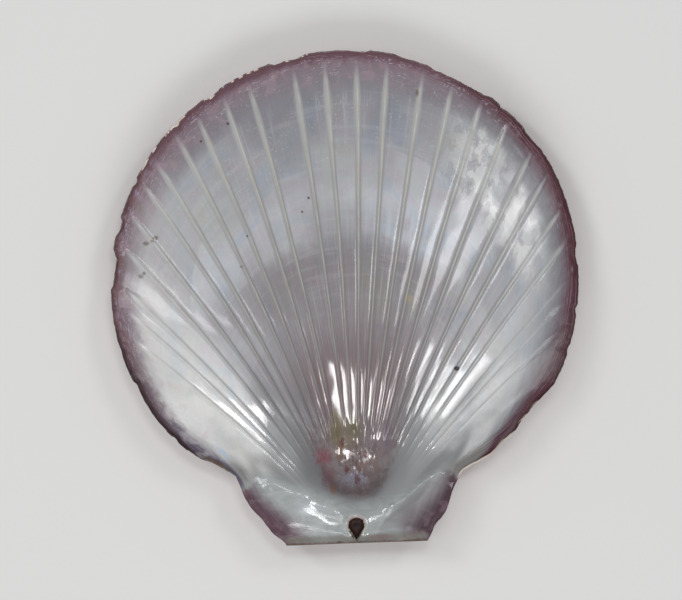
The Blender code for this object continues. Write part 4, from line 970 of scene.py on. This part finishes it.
    # painted blue-white glint on the left flank near the notch
    colour = p.mix(p.mul(stroke(-24.0, 17.9, -21.2, 14.8, 0.9, 0.9), 0.6), colour, srgb(170, 196, 226))
    gold = p.mul(p.step(-56.5, -58.2, T), p.step(0.72, 0.76, K), p.step(0.90, 0.84, K), p.step(0.9, 0.5, rim))
    colour = p.mix(p.mul(gold, 0.7), colour, srgb(104, 84, 58))
    for cx, cy, r in ((-6.33, 60.08, .26), (-7.54, 57.71, .22), (-19.82, 73.11, .27), (-24.57, 70.18, .24), (-17.23, 53.75, .2), (1.89, 29.33, .3)):
        colour = p.mix(p.mul(p.spot(X, Y, cx, cy, r * 1.2, r * 1.2, 0.6), 0.85), colour, srgb(64, 44, 38))
    colour = p.mix(p.mul(p.spot(X, Y, 18.41, 29.44, 0.62, 0.52, 0.45), 0.97), colour, srgb(34, 14, 14))
    dirt = p.noise(p.combine(p.mul(p.add(X0, Y0), 2.0), p.mul(p.sub(X0, Y0), 7.0), 41.0), 1.0, 3, 0.7)
    for cx, cy, r, share in ((-35.70, 47.16, .55, .6), (-35.1, 47.7, .4, .6), (-34.64, 52.81, .6, .65), (-32.97, 53.78, .55, .7), (-33.6, 53.2, .4, .5),
                             (-18.44, 48.45, .35, .55)):
        mark = p.step(0.35, 0.6, p.add(p.spot(X, Y, cx, cy, r * 1.6, r * 1.2, 1.0), p.mul(p.sub(dirt, 0.5), 2.6)))
        colour = p.mix(p.mul(mark, p.spot(X, Y, cx, cy, r * 2.2, r * 1.8, 0.6), share), colour, srgb(92, 82, 66))
    colour = p.mix(p.mul(p.spot(X, Y, 10.59, 41.93, 0.9, 1.2, 0.9), 0.4), colour, srgb(186, 166, 116))

    # -- outside: smooth mauve-brown with fine growth lines and pale rays
    bands = p.noise(p.combine(p.mul(T0, 0.02), p.mul(K0, 26.0), 3.0), 1.0, 5, 0.65)
    hairs = p.noise(p.combine(p.mul(T0, 0.05), p.mul(K0, 150.0), 5.0), 1.0, 3, 0.6)
    rays = p.noise(p.combine(p.mul(T0, 1.1), p.mul(K0, 0.8), 7.0), 1.0, 3, 0.55)
    back = p.ramp(bands, [(0.30, srgb(150, 96, 100)), (0.48, srgb(176, 124, 122)), (0.62, srgb(196, 150, 146)), (0.75, srgb(214, 184, 178))])
    back = p.mix(p.mul(p.step(0.55, 0.75, hairs), 0.4), back, srgb(132, 82, 90))
    back = p.mix(p.mul(p.step(0.55, 0.7, rays), 0.35), back, srgb(222, 200, 198))
    back = p.mix(p.step(0.30, 0.05, K), back, srgb(214, 196, 192))
    colour = p.mix(p.step(0.45, 0.55, inner), back, colour)

    # -- gloss and fine relief
    dull = p.math("MAXIMUM", plum_share, ear_share)
    rough = p.add(0.36, p.mul(p.sub(cloud, 0.5), 0.20))
    rough = p.add(rough, p.mul(dull, 0.14))
    h = p.add(p.mul(striae, 0.35), p.add(p.mul(growth, 0.5), p.add(p.mul(grain, 0.35), p.mul(fine, 0.15))))
    normal = p.bump(h, 0.00007, 0.9)
    chalk = p.add(p.attribute("gloss")[0], hair)
    breaks = p.step(0.46, 0.54, p.noise(p.combine(p.mul(T0, 0.9), p.mul(K0, 12.0), 33.0), 1.0, 4, 0.7))
    broken = p.mul(breaks, p.add(p.mul(p.spot(X, Y, -1.0, 24.0, 7.0, 9.0, 0.5), 0.2), p.mul(p.near(T, 32.0, 10.0), p.near(K, 0.40, 0.14), 0.65)))
    chalk = p.math("MAXIMUM", chalk, p.math("MAXIMUM", broken, p.mul(plate, 0.42)))
    p.set(Base_Color=colour, Roughness=rough, Metallic=p.linear(0.0, 1.0, p.math("MAXIMUM", dull, chalk), (0.12, 0.0)),
          Coat_Weight=p.mul(p.linear(0.0, 1.0, dull, (1.0, 0.3)), p.sub(1.0, chalk)), Coat_Roughness=0.08, Normal=normal)
    p.shader.inputs["Specular IOR Level"].default_value = 0.2
    p.shader.inputs["Coat IOR"].default_value = 1.6
    return p.material


def ligament_material():
    p = Paint("ligament_brown")
    X, Y, Z = p.attribute("place")
    fibre = p.noise(p.combine(p.mul(X, 9.0), p.mul(Y, 1.2), 0.0), 1.0, 3, 0.6)
    rimward = p.attribute("zone")[0]
    dark = p.mix(p.step(0.35, 0.7, fibre), srgb(14, 9, 9), srgb(30, 19, 16))
    colour = p.mix(p.mul(rimward, 0.8), dark, srgb(58, 26, 18))
    p.set(Base_Color=colour, Roughness=p.add(0.45, p.mul(fibre, 0.2)), Coat_Weight=0.12, Coat_Roughness=0.3,
          Normal=p.bump(fibre, 0.00003, 0.6))
    p.shader.inputs["Specular IOR Level"].default_value = 0.15
    return p.material


def build_ligament(material):
    """A rounded, slightly fibrous cushion filling the pit."""
    rings, around = 9, len(PIT_X)
    cx, cy = 0.0, PIT_TOP - PIT_WIDTH / 2
    floor = PLATE_Z - PIT_DEPTH + 0.06
    verts, zone, faces = [], [], []
    for i in range(rings + 1):
        f = i / rings
        s = 0.995 - 0.93 * f
        x, y = cx + (PIT_X - cx) * s, cy + (PIT_Y - cy) * s - 0.15 * f
        top = floor + 0.12 + 0.42 * (1.0 - (1.0 - min(1.0, f * 1.6)) ** 2) - 0.10 * smoothstep(0.6, 1.0, f)
        z = top + 0.03 * value_noise(x, y * 0.3, 0.35, 81)
        verts.append(np.stack([x, y, z], 1))
        zone.append(np.full(around, 1.0 - f))
    base = np.stack([cx + (PIT_X - cx) * 0.97, cy + (PIT_Y - cy) * 0.97, np.full(around, floor)], 1)
    verts = [base] + verts
    zone = [np.ones(around)] + zone
    for i in range(rings + 1):
        for c in range(around):
            d = (c + 1) % around
            faces.append((i * around + c, i * around + d, (i + 1) * around + d, (i + 1) * around + c))
    n = (rings + 2) * around
    v = np.concatenate(verts)
    ends = np.array([[cx, cy - 0.15, v[-around:, 2].mean()], [cx, cy, floor]])
    v = np.concatenate([v, ends])
    for c in range(around):
        d = (c + 1) % around
        faces.append(((rings + 1) * around + c, (rings + 1) * around + d, n))
        faces.append((d, c, n + 1))
    obj = mesh_object("ligament_pad", to_world(v[:, 0], v[:, 1], v[:, 2]), faces, material)
    z = np.concatenate(zone + [np.array([0.0, 1.0])])
    vector_attribute(obj.data, "place", (v[:, 0], v[:, 1], v[:, 2]))
    vector_attribute(obj.data, "zone", (z, z, z))
    return obj


# ============================================================ the pieces
valve = build_valve(shell_material())
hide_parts("valve")
ligament = build_ligament(ligament_material())
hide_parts("ligament")
for piece, slot in ((valve, "shell"), (ligament, "ligament")):
    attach(piece, "root")
print("valve triangles", sum(len(f.vertices) - 2 for f in valve.data.polygons))


# ============================================================ floor, light and camera
def floor_material():
    p = Paint("studio_floor")
    p.set(Base_Color=(0.80, 0.80, 0.79, 1.0), Roughness=0.75)
    return p.material


bpy.ops.mesh.primitive_plane_add(size=4.0, location=(0.0, 0.0, 0.0))
floor = bpy.context.object
floor.name = "studio_floor"
floor.data.materials.append(floor_material())


def lamp(name, place, aim, size, power, colour=(1, 1, 1)):
    data = bpy.data.lights.new(name, "AREA")
    data.shape, data.size, data.size_y, data.energy, data.color = "RECTANGLE", size[0], size[1], power, colour
    obj = bpy.data.objects.new(name, data)
    bpy.context.scene.collection.objects.link(obj)
    obj.location = place
    obj.rotation_mode = "QUATERNION"
    obj.rotation_quaternion = (Vector(aim) - Vector(place)).to_track_quat("-Z", "Y")
    return obj


lamp("left_lamp", (-0.262, 0.176, 0.50), (0, 0, 0), (0.064, 0.17), 0.44)
lamp("left_strip", (-0.165, -0.030, 0.50), (0, 0, 0), (0.06, 0.10), 0.09)
lamp("left_small", (-0.170, 0.075, 0.50), (0, 0, 0), (0.03, 0.05), 0.06)
lamp("right_lamp", (0.252, 0.200, 0.50), (0, 0, 0), (0.045, 0.13), 0.30)
lamp("right_strip", (0.250, 0.050, 0.50), (0, 0, 0), (0.02, 0.12), 0.03)
lamp("top_lamp", (0.034, 0.095, 0.50), (0, 0, 0), (0.088, 0.064), 0.35)
lamp("top_strip", (-0.060, 0.100, 0.50), (0, 0, 0), (0.12, 0.035), 0.09)
lamp("fill", (0.0, -0.40, 0.42), (0, 0, 0), (0.40, 0.20), 0.94)

world = bpy.data.worlds.new("studio")
world.use_nodes = True
world.node_tree.nodes["Background"].inputs[0].default_value = (0.98, 0.99, 1.0, 1.0)
world.node_tree.nodes["Background"].inputs[1].default_value = 0.28
bpy.context.scene.world = world

cam_data = bpy.data.cameras.new("camera")
cam_data.lens, cam_data.sensor_width = 135.0, 36.0
cam_data.clip_start, cam_data.clip_end = 0.01, 10.0
camera = bpy.data.objects.new("camera", cam_data)
bpy.context.scene.collection.objects.link(camera)
camera.location = (-0.00085, -0.00063, 0.449)
camera.rotation_euler = (0.0, 0.0, math.radians(-2.0))
bpy.context.scene.camera = camera
bpy.context.scene.view_settings.view_transform = "Standard"
